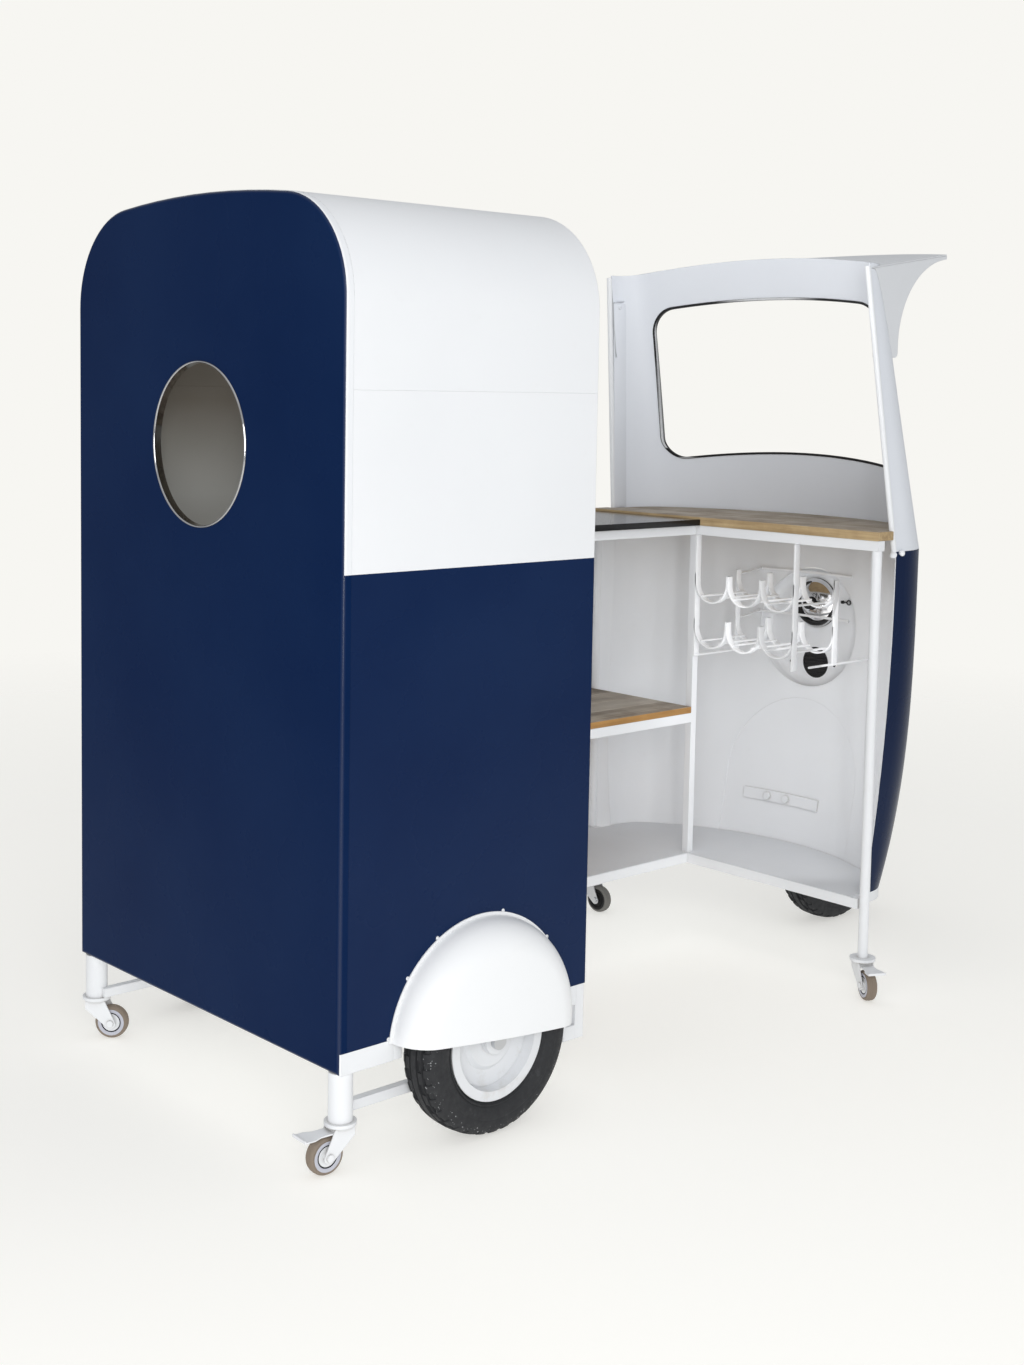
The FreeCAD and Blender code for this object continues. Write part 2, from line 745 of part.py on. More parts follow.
def brake_pedal():
    half = d.castor_width / 2 + d.castor_bolt * 0.55
    flare = half * 1.4
    pivot, height = d.pedal_pivot, pedal_height()
    low, high = height - d.fork_sheet / 2, height + d.fork_sheet / 2
    wing = d.castor_trail + d.castor_bolt * 4.5
    plate = [(pivot, -half), (wing, -half), (wing + half, -flare), (d.pedal_reach, -flare),
             (d.pedal_reach, flare), (wing + half, flare), (wing, half), (pivot, half)]
    tread = padded("XY_Plane", [plate], high - low, 0, 0, low)
    barrel = rod(d.pedal_pin + d.fork_sheet * 0.75, 2 * half, pivot, -half, height, "Y")
    lip = bar(d.pedal_reach - d.fork_sheet, d.pedal_reach, -flare, flare, high, high + d.fork_sheet)
    bore = rod(d.pedal_pin + d.running_gap, 2 * half, pivot, -half, height, "Y")
    return without(fused([tread, barrel, lip]), [bore])


def castor_wheel():
    half = d.castor_width / 2
    boss = half + d.castor_bolt * 0.625 - d.side_gap
    round_off = d.castor_bolt * 1.5
    rim = d.castor_radius - round_off
    tread = [(-half, d.castor_hub), (-half, rim),
             (round_off - half, d.castor_radius, round_off - half, rim),
             (half - round_off, d.castor_radius), (half, rim, half - round_off, rim), (half, d.castor_hub)]
    bore = d.castor_bolt + d.running_gap
    web = half * 0.55
    hub = [(-boss, bore), (-boss, d.castor_bolt * 2), (-web, d.castor_bolt * 2.6),
           (-web, d.castor_hub - d.castor_bolt), (-half, d.castor_hub - d.castor_bolt), (-half, d.castor_hub),
           (half, d.castor_hub), (half, d.castor_hub - d.castor_bolt), (web, d.castor_hub - d.castor_bolt),
           (web, d.castor_bolt * 2.6), (boss, d.castor_bolt * 2), (boss, bore)]
    pieces = [spun("YZ_Plane", loop, d.castor_trail, 0, d.castor_radius) for loop in (tread, hub)]
    return group(pieces)


def castors():
    plates = []
    for name, (x, y) in castor_places().items():
        turn = FreeCAD.Rotation(FreeCAD.Vector(0, 0, 1), castor_turns[name])
        braked = name in braked_castors
        plates.append(castor_plate(x, y))
        keep(place(castor_fork(braked), x, y, 0, turn), f"castor_fork_{name}")
        keep(place(castor_wheel(), x, y, 0, turn), f"castor_wheel_{name}")
        if braked:
            keep(place(brake_pedal(), x, y, 0, turn), f"brake_pedal_{name}")
    keep(group(plates), "castor_plates")


# Side counter: tube rails on three levels between the cabinet and the counter's front line

def bar_frame():
    half = d.tube / 2
    start = cabinet_front + d.tube
    end = counter_front - half
    bars = []
    for rail in (inner_rail, far_post):
        bars.append(bar(cabinet_front, start, rail - half, rail + half, d.floor_rail, counter_height))
    for level in (d.floor_rail, d.shelf_rail, d.counter_rail):
        top = level + d.tube
        for rail in (inner_rail, far_post):
            bars.append(bar(start, end, rail - half, rail + half, level, top))
        bars.append(bar(cabinet_front, start, inner_rail + half, far_post - half, level, top))
    bars.append(bar(end, end + d.tube, near_post - half, far_post + half, d.counter_rail, counter_height))
    bars.append(bar(end, end + d.tube, near_post + half, far_post - half, d.floor_rail, floor_top))
    post = d.corner_post / 2
    bars.append(bar(end, end + d.tube, inner_rail + post, far_post - half,
                    d.shelf_rail, d.shelf_rail + d.tube))
    deck = floor_top + d.floor_sheet
    bars.append(bar(counter_front - post, counter_front + post, inner_rail - post, inner_rail + post,
                    deck, d.counter_rail))
    for y in (near_post, far_post):
        bars.append(rod(half, d.counter_rail - d.castor_height, counter_front, y, d.castor_height))
    keep(group(bars), "bar_frame")


def bar_boards():
    half = d.tube / 2
    start = cabinet_front + d.tube
    end = counter_front - half
    near, far = inner_rail - half, far_post + half
    joint = counter_front - d.top_lip
    keep(bar(cabinet_front, joint, near - d.top_lip, far + d.top_lip, counter_height,
             counter_height + d.black_top), "black_top")
    shelf_foot = d.shelf_rail + d.tube
    keep(bar(start, end, near, far, shelf_foot, shelf_foot + d.shelf_board), "wood_shelf")
    clear = d.skin * 2 + d.pillar_radius
    share = (counter_height + d.wood_top - d.belt) / (d.sill - d.belt)
    sill_half, sill_edge, sill_run, sill_corner, sill_front = sill_level()
    inside = bow(belt_half + (sill_half - belt_half) * share - clear, d.belt_edge,
                 d.belt_run + (sill_run - d.belt_run) * share,
                 d.belt_corner + (sill_corner - d.belt_corner) * share - clear,
                 d.belt_front + (sill_front - d.belt_front) * share - clear)
    ends = post_span + half
    lip = d.belt_edge - d.tube
    inside[0] = (lip, inside[0][1])
    inside[-1] = (lip, inside[-1][1])
    wood = [(-d.top_lip, -ends), (lip, -ends)] + inside + [(lip, ends), (-d.top_lip, ends)]
    keep(padded("XY_Plane", [wood], d.wood_top, counter_front, nose_mid, counter_height), "wood_top")
    gap = d.skin + d.side_gap
    nose = bow(nose_low_half - gap, d.nose_low_edge, d.nose_low_run, d.nose_low_corner - gap,
               d.nose_low_front - gap)
    side = nose_low_half - gap
    deck = [(-half, -side)] + nose + [(-half, side)]
    plates = [padded("XY_Plane", [deck], d.floor_sheet, counter_front, nose_mid, floor_top),
              bar(start, end, near, far, floor_top, floor_top + d.floor_sheet)]
    keep(group(plates), "floor_plate")
    keep(bar(cabinet_front, counter_front + d.belt_edge, far, far + d.skin, d.floor_rail, counter_height),
         "side_skin")


# Nose: sheet bent to a bow on every level, swelling to the belt, then leaning back to the brow

def nose_levels(outside, inside=None):
    low = (nose_low_half, d.nose_low_edge, d.nose_low_run, d.nose_low_corner, d.nose_low_front)
    knee = (nose_knee_half, d.nose_knee_edge, d.nose_knee_run, d.nose_knee_corner, d.nose_knee_front)
    chest = (nose_chest_half, d.nose_chest_edge, d.nose_chest_run, d.nose_chest_corner, d.nose_chest_front)
    belt = (belt_half, d.belt_edge, d.belt_run, d.belt_corner, d.belt_front)
    heights = (floor_top, d.nose_knee, d.nose_chest, d.belt)
    levels = zip((low, knee, chest, belt), heights)
    return [level_line(level, height, outside, inside) for level, height in levels]


def level_line(level, height, outside, inside):
    half, edge, run, corner, front = level
    outside = as_size(outside)
    if inside is not None:
        line = band(*level, outside, as_size(inside))
    else:
        line = bow(half - outside, edge, run, corner - outside, front - outside)
    return level_sketch(line, counter_front, nose_mid, height)


def sill_level():
    share = (d.sill - d.belt) / (d.brow - d.belt)
    half = belt_half + (brow_half - belt_half) * share
    edge = d.belt_edge + (d.brow_edge - d.belt_edge) * share
    return half, edge, d.sill_run, d.sill_corner, d.sill_front


def screen_levels(outside, inside=None):
    belt = (belt_half, d.belt_edge, d.belt_run, d.belt_corner, d.belt_front)
    brow = (brow_half, d.brow_edge, d.brow_run, d.brow_corner, d.brow_front)
    heights = (d.belt, d.sill, d.brow)
    return [level_line(level, height, outside, inside)
            for level, height in zip((belt, sill_level(), brow), heights)]


def window_outline(inset):
    # wider at the sill than at the brow, with both long edges arched
    # the corner centres stay when it is inset
    corner, heel = d.window_corner, d.window_heel
    top_base, low_base = d.window_high - d.brow_arch, d.window_low - d.window_low_arch
    top_reach, low_reach = d.brow_arch - corner, d.window_low_arch + heel
    top_y, low_y = d.window_high_half - corner, d.window_low_half - heel
    top_z = top_base + root(top_reach * top_reach - top_y * top_y)
    low_z = low_base + root(low_reach * low_reach - low_y * low_y)
    out = root(1 - d.window_lean * d.window_lean)
    crest, sill = (d.brow_arch - inset) / top_reach, (d.window_low_arch + inset) / low_reach
    corner, heel = corner - inset, heel - inset
    crest_y, crest_z = top_y * crest, top_base + (top_z - top_base) * crest
    sill_y, sill_z = low_y * sill, low_base + (low_z - low_base) * sill
    side_y, side_z = top_y + corner * out, top_z + corner * d.window_lean
    foot_y, foot_z = low_y + heel * out, low_z + heel * d.window_lean
    return [(-sill_y, sill_z, -low_y, low_z), (sill_y, sill_z, 0, low_base), (foot_y, foot_z, low_y, low_z),
            (side_y, side_z), (crest_y, crest_z, top_y, top_z), (-crest_y, crest_z, 0, top_base),
            (-side_y, side_z, -top_y, top_z), (-foot_y, foot_z)]


def window_prism(inset):
    return padded("YZ_Plane", [window_outline(as_size(inset))], d.belt_front * 2,
                  counter_front - d.belt_front, nose_mid)


def over_brow():
    base = d.brow_crown - d.brow_arch
    side = belt_half
    foot = base + root(d.brow_arch * d.brow_arch - side * side)
    above = d.brow + d.tube
    loop = [(side, foot), (side, above), (-side, above), (-side, foot), (side, foot, 0, base)]
    return padded("YZ_Plane", [loop[1:]], d.belt_front * 2, counter_front - d.belt_front, nose_mid)


def emboss_prism():
    # the arched field that is pressed forward out of the nose, seen as a shallow recess from inside
    half, spring = d.emboss_half, d.emboss_spring
    low = floor_top - d.tube
    loop = [(half, low), (half, spring), (0, spring + half, 0, spring), (-half, spring, 0, spring),
            (-half, low)]
    return padded("YZ_Plane", [loop], d.belt_front, counter_front + d.tube * 6, nose_mid)


def bracket_holes():
    return [rod(d.bolt_radius, d.belt_front, counter_front + d.tube, nose_mid + y, d.bracket_height, "X")
            for y in (d.bracket_first, d.bracket_second)]


def nose_shells():
    hole = rod(d.nacelle_radius, d.nacelle_front, counter_front + d.tube, nose_mid, d.nacelle_height, "X")
    arch = emboss_prism()
    raised = shared([lofted(nose_levels(-d.emboss_step, d.skin - d.emboss_step)), arch])
    shell = fused([without(lofted(nose_levels(0, d.skin)), [arch]), raised])
    keep(without(shell, [hole] + bracket_holes()), "nose_shell")
    rail = band(nose_low_half, d.nose_low_edge, d.nose_low_run, d.nose_low_corner, d.nose_low_front,
                as_size(0), d.tube)
    keep(padded("XY_Plane", [rail], floor_top - d.floor_rail, counter_front, nose_mid, d.floor_rail),
         "nose_base_rail")
    screen = lofted(screen_levels(0, d.skin))
    keep(without(screen, [window_prism(0), over_brow()]), "windscreen_panel")
    thick = lofted(screen_levels(-d.seal_lip, d.skin + d.seal_lip))
    ring = without(window_prism(0), [window_prism(d.seal_width)])
    keep(shared([thick, ring]), "windscreen_seal")


def pillar_tubes():
    share = (d.pillar_top - d.belt) / (d.brow - d.belt)
    run_x = (d.brow_edge - d.belt_edge) * share
    run_y = (brow_half - belt_half) * share
    run_z = d.pillar_top - d.belt
    length = root(run_x * run_x + run_y * run_y + run_z * run_z)
    tubes = []
    for side in (-1, 1):
        foot_x = counter_front + d.belt_edge - d.pillar_radius - d.side_gap * 2
        foot_y = nose_mid + side * (belt_half - d.skin / 2)
        lean = FreeCAD.Vector(run_x.number, side * run_y.number, run_z.number)
        tube = rod(d.pillar_radius, length, foot_x, foot_y, d.belt)
        place(tube, foot_x, foot_y, d.belt, FreeCAD.Rotation(FreeCAD.Vector(0, 0, 1), lean))
        ball = doc.addObject("Part::Sphere", "Ball")
        bind(ball, "Radius", d.pillar_ball)
        place(ball, foot_x - d.pillar_ball + d.pillar_radius, foot_y, d.belt - d.pillar_radius)
        tubes.append(fused([tube, ball]))
    keep(group(tubes), "pillar_tubes")


def visor_strip(half, crest, crown, thick):
    radius = (half * half + crown * crown) / (2 * crown)
    base = crest - radius
    foot = crest - crown
    return [(-half, foot), (-half, foot + thick), (half, foot + thick, 0, base + thick), (half, foot),
            (-half, foot, 0, base)][1:]


def visor():
    stand = FreeCAD.Rotation(FreeCAD.Vector(1, 1, 1), 120)
    ends = []
    for ahead, crest, crown in ((d.visor_back, d.visor_back_crest, d.visor_back_crown),
                                (d.visor_front, d.visor_front_crest, d.visor_front_crown)):
        strip = visor_strip(visor_half, crest, crown, d.skin)
        ends.append(level_sketch(strip, counter_front + ahead, nose_mid, 0, stand))
    core = lofted(screen_levels(0))
    sweep = rod(d.visor_bow, d.belt, counter_front + d.visor_nose - d.visor_bow, nose_mid, d.belt)
    keep(without(shared([lofted(ends, True), sweep]), [core]), "visor")
    slope = (d.visor_front_crest - d.visor_front_crown - d.visor_back_crest + d.visor_back_crown) / (
        d.visor_front - d.visor_back)
    foot = d.visor_back_crest - d.visor_back_crown - d.side_gap
    tip = d.cheek_curve_x - d.tube
    drop = d.cheek_curve_x - tip
    tip_z = d.cheek_curve_z + root(d.cheek_curve * d.cheek_curve - drop * drop)
    toe, turn = d.cheek_curve_x - d.cheek_curve, d.tube / 2
    lean = (d.brow_edge - d.belt_edge) / (d.brow - d.belt)
    heel_top = d.belt_edge + lean * (foot - d.belt)
    heel_low = d.belt_edge + lean * (d.cheek_low - d.belt)
    plate = [(heel_top, foot + slope * (heel_top - d.visor_back)), (tip, foot + slope * (tip - d.visor_back)),
             (tip, tip_z), (toe, d.cheek_curve_z, d.cheek_curve_x, d.cheek_curve_z),
             (toe, d.cheek_low + turn),
             (toe - turn, d.cheek_low, toe - turn, d.cheek_low + turn), (heel_low, d.cheek_low)]
    cheeks = []
    for low in (-(visor_half - d.skin) - d.skin, (visor_half - d.skin)):
        cheek = padded("XZ_Plane", [plate], d.skin, counter_front, nose_mid + low, 0, True)
        cheeks.append(without(cheek, [core]))
    keep(group(cheeks), "visor_cheeks")


# Lamp and horn, in a round nacelle that stands out of the nose

def lamp():
    wall, edge = d.skin, d.nacelle_edge
    back, front, rim = d.nacelle_back, d.nacelle_front, d.nacelle_radius
    cup = [(back, rim - wall), (back, rim), (front - edge, rim),
           (front, rim - edge, front - edge, rim - edge),
           (front, 0), (front - wall, 0), (front - wall, rim - edge),
           (front - edge, rim - wall, front - edge, rim - edge)]
    nacelle = spun("XZ_Plane", cup, counter_front, nose_mid, d.nacelle_height)
    lamp_hole = rod(d.lamp_hole, front, counter_front, nose_mid, d.lamp_height, "X")
    horn_hole = rod(d.horn_radius, front, counter_front, nose_mid, d.horn_height, "X")
    screws = [rod(d.horn_screw, front, counter_front, nose_mid + side * d.horn_screw_span, d.horn_height, "X")
              for side in (-1, 1)]
    keep(without(nacelle, [lamp_hole, horn_hole, lofted(nose_levels(d.skin))] + screws), "lamp_nacelle")
    hole, bezel, deep = d.lamp_hole, d.bezel_radius, d.bezel_depth
    at = (counter_front, nose_mid, d.lamp_height)
    lip = hole - wall
    ring = [(front, lip), (front, bezel), (front + deep / 2, bezel), (front + deep, bezel - wall * 4),
            (front + deep, lip - wall), (front + deep - wall, lip - wall), (front + deep - wall, lip)]
    keep(spun("XZ_Plane", ring, *at), "headlight_bezel")
    glass = front + deep - wall
    lens = [(glass, 0), (glass, lip - d.side_gap), (glass - wall, lip - d.side_gap), (glass - wall, 0)]
    keep(spun("XZ_Plane", lens, *at), "headlight_lens")
    gasket = [(front - wall * 3, lip), (front - wall * 3, hole + wall * 2), (front - wall, hole + wall * 2),
              (front - wall, hole), (front, hole), (front, lip)]
    keep(spun("XZ_Plane", gasket, *at), "headlight_gasket")
    mouth, depth = front - wall * 3, d.lamp_hole * 0.28
    throat = hole * 0.3
    ahead = (lip * lip - throat * throat - depth * depth) / (2 * depth)
    hub = mouth + ahead
    shell = root(ahead * ahead + lip * lip) + wall * 0.6
    neck = hub - root(shell * shell - throat * throat)
    brim = root(shell * shell - (ahead + wall) * (ahead + wall))
    bowl = [(mouth, lip), (mouth - depth, throat, hub, 0), (neck, throat), (mouth - wall, brim, hub, 0),
            (mouth - wall, hole + wall * 2), (mouth, hole + wall * 2)]
    keep(spun("XZ_Plane", bowl, *at), "headlight_reflector")
    holder_back = mouth - depth - wall * 7
    holder = [(holder_back, 0), (holder_back, throat * 0.8), (mouth - depth - wall, throat * 0.8),
              (mouth - depth - wall, throat), (mouth - depth, throat),
              (mouth - depth + wall * 5, throat * 0.5),
              (mouth - depth + wall * 8, 0)]
    keep(spun("XZ_Plane", holder, *at), "bulb_holder")


def horn_grille():
    front, wall = d.nacelle_front, d.skin
    ring = spun("XZ_Plane", [(front - wall, d.horn_radius - wall), (front - wall, d.horn_radius),
                             (front + wall, d.horn_radius), (front + wall, d.horn_radius - wall)],
                counter_front, nose_mid, d.horn_height)
    disc = rod(d.horn_radius - wall, wall, counter_front + front - wall, nose_mid, d.horn_height, "X")
    pitch = d.horn_radius * 0.25
    slats = []
    for step in range(-3, 4):
        height = d.horn_height + step * pitch
        slats.append(bar(counter_front + front - wall, counter_front + front, nose_mid - d.horn_radius,
                         nose_mid + d.horn_radius, height - wall * 0.9, height + wall * 0.9))
    back = rod(d.horn_radius - wall / 2, wall / 2, counter_front + front, nose_mid, d.horn_height, "X")
    keep(fused([ring, back, shared([disc, fused(slats)])]), "horn_grille")


def bracket_plate():
    # a strap that follows the inside of the nose, bolted through to the plate of the front fork
    face = d.nose_low_front
    low, tall = d.bracket_height - d.bracket_tall / 2, d.bracket_tall
    mid = nose_mid + d.bracket_mid
    block = bar(counter_front + face / 2, counter_front + face * 1.5,
                mid - d.bracket_half, mid + d.bracket_half, low, low + tall)
    inner = d.skin - d.emboss_step + d.running_gap
    seat = inner + d.skin * 2
    strap = shared([block, lofted(nose_levels(inner, seat))])
    keep(without(strap, bracket_holes()), "bracket_plate")
    bolts = []
    for shank, y in zip(bracket_holes(), (d.bracket_first, d.bracket_second)):
        head = rod(d.bolt_radius * 1.9, d.belt_front, counter_front + d.tube, nose_mid + y,
                   d.bracket_height, "X")
        bolts.append(fused([shared([head, lofted(nose_levels(seat, seat + d.bolt_radius * 1.4))]),
                            shared([shank, lofted(nose_levels(-d.skin * 3, seat + d.skin))])]))
    keep(group(bolts), "fork_bolts")


# Bottle rack: flat straps bent into cradles, two tiers in a front and a back row

def rack_row(x):
    outer = d.cradle_pitch / 2
    inner = outer - d.strap
    start = inner_rail - d.corner_post / 2 - outer
    pieces = []
    for floor in (d.high_cradle, d.low_cradle):
        hub = floor + outer
        for step in range(3):
            y = start - step * d.cradle_pitch
            core = rod(inner, d.strap_width, x, y, hub, "X")
            ring = without(rod(outer, d.strap_width, x, y, hub, "X"), [core])
            lower = bar(x, x + d.strap_width, y - outer, y + outer, floor, hub)
            pieces.append(shared([ring, lower]))
        for step in range(2):
            y = start - outer - step * d.cradle_pitch
            pieces.append(bar(x, x + d.strap_width, y - d.strap, y + d.strap, hub, floor + d.prong_rise))
    return pieces


def bottle_rack():
    outer = d.cradle_pitch / 2
    near_x = counter_front - d.strap_width / 2
    far_x = near_x + d.rack_depth
    left = inner_rail - d.corner_post / 2
    right = left - 3 * d.cradle_pitch
    pieces = rack_row(near_x) + rack_row(far_x)
    for x, top in ((near_x, d.counter_rail), (far_x, d.high_cradle + d.prong_rise)):
        for y in (left - d.strap, right):
            pieces.append(bar(x, x + d.strap_width, y, y + d.strap, d.rack_foot, top))
    seat = outer - d.strap - d.rod_radius * 0.8
    for floor in (d.high_cradle, d.low_cradle):
        for step in range(3):
            y = left - outer - step * d.cradle_pitch
            for side in (-1, 1):
                pieces.append(rod(d.rod_radius, d.rack_depth + d.strap_width, near_x, y + side * seat * 0.64,
                                  floor + outer - seat * 0.768, "X"))
    rail = d.rack_foot + d.rod_radius
    pieces.append(rod(d.rod_radius, d.rack_depth + d.strap_width, near_x, left - d.rod_radius, rail, "X"))
    inside = lofted(nose_levels(d.skin))
    to_wall = rod(d.rod_radius, d.belt_front * 1.2, near_x, right + d.rod_radius, rail, "X")
    pieces.append(shared([to_wall, inside]))
    wall = lofted(nose_levels(d.skin, d.skin + d.strap * 1.5))
    for floor in (d.high_cradle, d.low_cradle):
        height = floor + d.prong_rise - d.strip_drop
        block = bar(counter_front + d.rack_depth, counter_front + d.belt_front, nose_mid - d.strip_near,
                    nose_mid + d.strip_far, height - d.rod_radius, height + d.rod_radius)
        pieces.append(shared([block, wall]))
        link = rod(d.rod_radius, d.rack_depth * 2, far_x, left, height)
        lean = FreeCAD.Vector(2.6, 1, 0)
        place(link, far_x + d.strap_width / 2, left - d.strap / 2, height,
              FreeCAD.Rotation(FreeCAD.Vector(0, 0, 1), lean))
        pieces.append(shared([link, inside]))
    rack = fused(pieces)
    # each row comes apart at its cradles, the rods and the wall strips stay whole
    rows = (near_x, near_x + d.strap_width, far_x, far_x + d.strap_width, counter_front + d.belt_front)
    columns = (-half_width, right + d.cradle_pitch, left - d.cradle_pitch, half_width)
    tiers = (d.rack_foot, d.high_cradle - outer / 2, d.counter_rail)
    slices = []
    for step, (start, stop) in enumerate(zip(rows, rows[1:])):
        across = (columns[0], columns[-1]) if step % 2 else columns
        up = (tiers[0], tiers[-1]) if step % 2 else tiers
        for y, next_y in zip(across, across[1:]):
            for z, next_z in zip(up, up[1:]):
                slices.append(shared([rack, bar(start, stop, y, next_y, z, next_z)]))
    keep(group(slices), "bottle_rack")


# Front wheel in a bolted fork, under its own mudguard

def front_end():
    axle_x = counter_front + d.front_wheel
    road_wheel("front", axle_x, nose_mid, 1)
    share = (d.bracket_height + d.bracket_tall - floor_top) / (d.nose_knee - floor_top)
    face = d.nose_low_front + (d.nose_knee_front - d.nose_low_front) * share + d.emboss_step
    arm_out = d.fork_half + d.fork_arm
    deep = d.fork_arm * 1.5
    half_tall = d.bracket_tall
    plate = bar(counter_front + face - d.tube * 2, counter_front + face + deep, nose_mid - d.fork_plate,
                nose_mid + d.fork_plate, d.bracket_height - half_tall, d.bracket_height + half_tall)
    eye = d.axle_radius * 2
    front = face + deep
    slope = eye * math.sqrt(0.5)
    hub, axle_z = d.front_wheel, d.tyre_radius
    arm = [(front, d.bracket_height - half_tall), (front, d.bracket_height + half_tall),
           (front + deep * 2, d.bracket_height + half_tall), (hub + slope, axle_z + slope),
           (hub - slope, axle_z - slope, hub, axle_z)]
    arms = [padded("XZ_Plane", [arm[:4] + [(hub + eye, axle_z, hub, axle_z), (hub, axle_z - eye, hub, axle_z),
                                           (hub - slope, axle_z - slope, hub, axle_z)]],
                   d.fork_arm, counter_front, nose_mid + low, 0, True)
            for low in (-arm_out, d.fork_half)]
    lip = d.rim_width / 2 + d.side_gap
    nut = d.axle_radius * 1.6
    shaft = fused([rod(d.axle_radius, 2 * arm_out, axle_x, nose_mid - arm_out, d.tyre_radius, "Y"),
                   rod(nut, d.axle_radius, axle_x, nose_mid - arm_out - d.axle_radius, d.tyre_radius, "Y"),
                   rod(nut, d.axle_radius, axle_x, nose_mid + arm_out, d.tyre_radius, "Y"),
                   rod(nut, d.fork_half - lip, axle_x, nose_mid - d.fork_half, d.tyre_radius, "Y"),
                   rod(nut, d.fork_half - lip + d.rim_wall, axle_x, nose_mid + lip - d.rim_wall,
                       d.tyre_radius, "Y")])
    axle_hole = rod(d.axle_radius, 2 * arm_out, axle_x, nose_mid - arm_out, d.tyre_radius, "Y")
    nose_core = lofted(nose_levels(-d.emboss_step - d.running_gap))
    fork = without(fused([plate] + arms), [axle_hole, nose_core] + bracket_holes())
    keep(group([fork, shaft]), "front_fork")
    crown, half, wall = d.front_guard_radius, d.front_guard_half, d.guard_sheet
    skirt = crown - d.front_guard_skirt
    turn = wall * 4
    guard = [(-half, skirt), (-half, crown - turn), (turn - half, crown, turn - half, crown - turn),
             (half - turn, crown), (half, crown - turn, half - turn, crown - turn), (half, skirt),
             (half - wall, skirt), (half - wall, crown - turn),
             (half - turn, crown - wall, half - turn, crown - turn), (turn - half, crown - wall),
             (wall - half, crown - turn, turn - half, crown - turn), (wall - half, skirt)]
    arch = spun("YZ_Plane", guard, axle_x, nose_mid, d.tyre_radius, d.front_guard_angle)
    rise = d.bracket_height + half_tall * 0.3 - d.tyre_radius
    lean = face + deep * 2.2 - d.front_wheel
    reach = root(rise * rise + lean * lean)
    at = (crown - d.front_guard_skirt / 2) / reach
    stud_x, stud_z = axle_x + lean * at, d.tyre_radius + rise * at
    studs = [rod(d.bolt_radius, d.fork_half - half, stud_x, nose_mid + low, stud_z, "Y")
             for low in (-d.fork_half, half)]
    keep(group([arch] + studs), "front_mudguard")


def build():
    rear_panel()
    porthole_trim()
    cabinet_skins()
    cabinet_frame()
    cabinet_inside()
    rear_axle()
    mudguards()
    rear_legs()
    castors()
    bar_frame()
    bar_boards()
    nose_shells()
    pillar_tubes()
    visor()
    lamp()
    horn_grille()
    bracket_plate()
    bottle_rack()
    front_end()
    doc.recompute()


def check_and_write():
    failed = [thing.Label for thing in doc.Objects if {"Invalid", "Error"} & set(thing.State)]
    broken = [node.Label for node in nodes if node.Shape.isNull() or not node.Shape.isValid()]
    if failed or broken:
        raise RuntimeError(f"failed objects {failed}, bad shapes {broken}")
    os.makedirs("parts", exist_ok=True)
    for node in nodes:
        node.Shape.exportStep(f"parts/{node.Label}.step")
    print(len(nodes), "nodes,", sum(len(node.Shape.Solids) for node in nodes), "solids")


build()
check_and_write()
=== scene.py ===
import json
import math

import bpy
from mathutils import Matrix, Vector


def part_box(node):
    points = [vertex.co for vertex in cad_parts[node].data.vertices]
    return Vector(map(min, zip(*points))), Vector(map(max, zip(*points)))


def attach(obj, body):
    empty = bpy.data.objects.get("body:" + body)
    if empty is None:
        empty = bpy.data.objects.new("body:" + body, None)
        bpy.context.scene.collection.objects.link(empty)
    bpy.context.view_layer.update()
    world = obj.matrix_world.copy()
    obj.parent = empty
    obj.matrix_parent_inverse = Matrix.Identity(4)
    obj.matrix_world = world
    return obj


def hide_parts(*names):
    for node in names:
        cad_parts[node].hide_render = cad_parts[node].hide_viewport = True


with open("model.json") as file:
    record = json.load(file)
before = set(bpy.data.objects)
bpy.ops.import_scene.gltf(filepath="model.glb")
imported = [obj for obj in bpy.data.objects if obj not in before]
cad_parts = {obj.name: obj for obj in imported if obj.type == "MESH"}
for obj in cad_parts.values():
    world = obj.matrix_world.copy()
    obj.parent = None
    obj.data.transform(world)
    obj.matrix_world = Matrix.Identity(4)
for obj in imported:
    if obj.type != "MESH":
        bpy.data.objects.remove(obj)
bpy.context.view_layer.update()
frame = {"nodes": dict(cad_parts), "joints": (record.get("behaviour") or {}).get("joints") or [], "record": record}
cadNodes = frame["nodes"]
print("stage: frame loaded,", len(cadNodes), "nodes")

scene = bpy.context.scene
scene.view_settings.view_transform = "Standard"
scene.view_settings.look = "None"


# camera and light

cameraSetup = {
    "eye": (-3.0843, -3.0335, 1.477),
    "yaw": 47.75,
    "pitch": 5.03,
    "roll": -0.98,
    "lens": 47.14,
    "sensor": 36,
    "shift": (0.0155, -0.1003),
    "reach": 100,
}


def placeCamera(setup):
    yaw, pitch, roll = (math.radians(setup[key]) for key in ("yaw", "pitch", "roll"))
    ahead = Vector((math.cos(yaw) * math.cos(pitch), math.sin(yaw) * math.cos(pitch), -math.sin(pitch)))
    level = Vector((math.sin(yaw), -math.cos(yaw), 0))
    down = ahead.cross(level)
    right = math.cos(roll) * level + math.sin(roll) * down
    up = math.sin(roll) * level - math.cos(roll) * down
    data = bpy.data.cameras.new("photoCamera")
    data.lens = setup["lens"]
    data.sensor_width = setup["sensor"]
    data.shift_x, data.shift_y = setup["shift"]
    data.clip_end = setup["reach"]
    camera = bpy.data.objects.new("photoCamera", data)
    turn = Matrix((right, up, -ahead)).transposed().to_4x4()
    camera.matrix_world = Matrix.Translation(setup["eye"]) @ turn
    scene.collection.objects.link(camera)
    scene.camera = camera


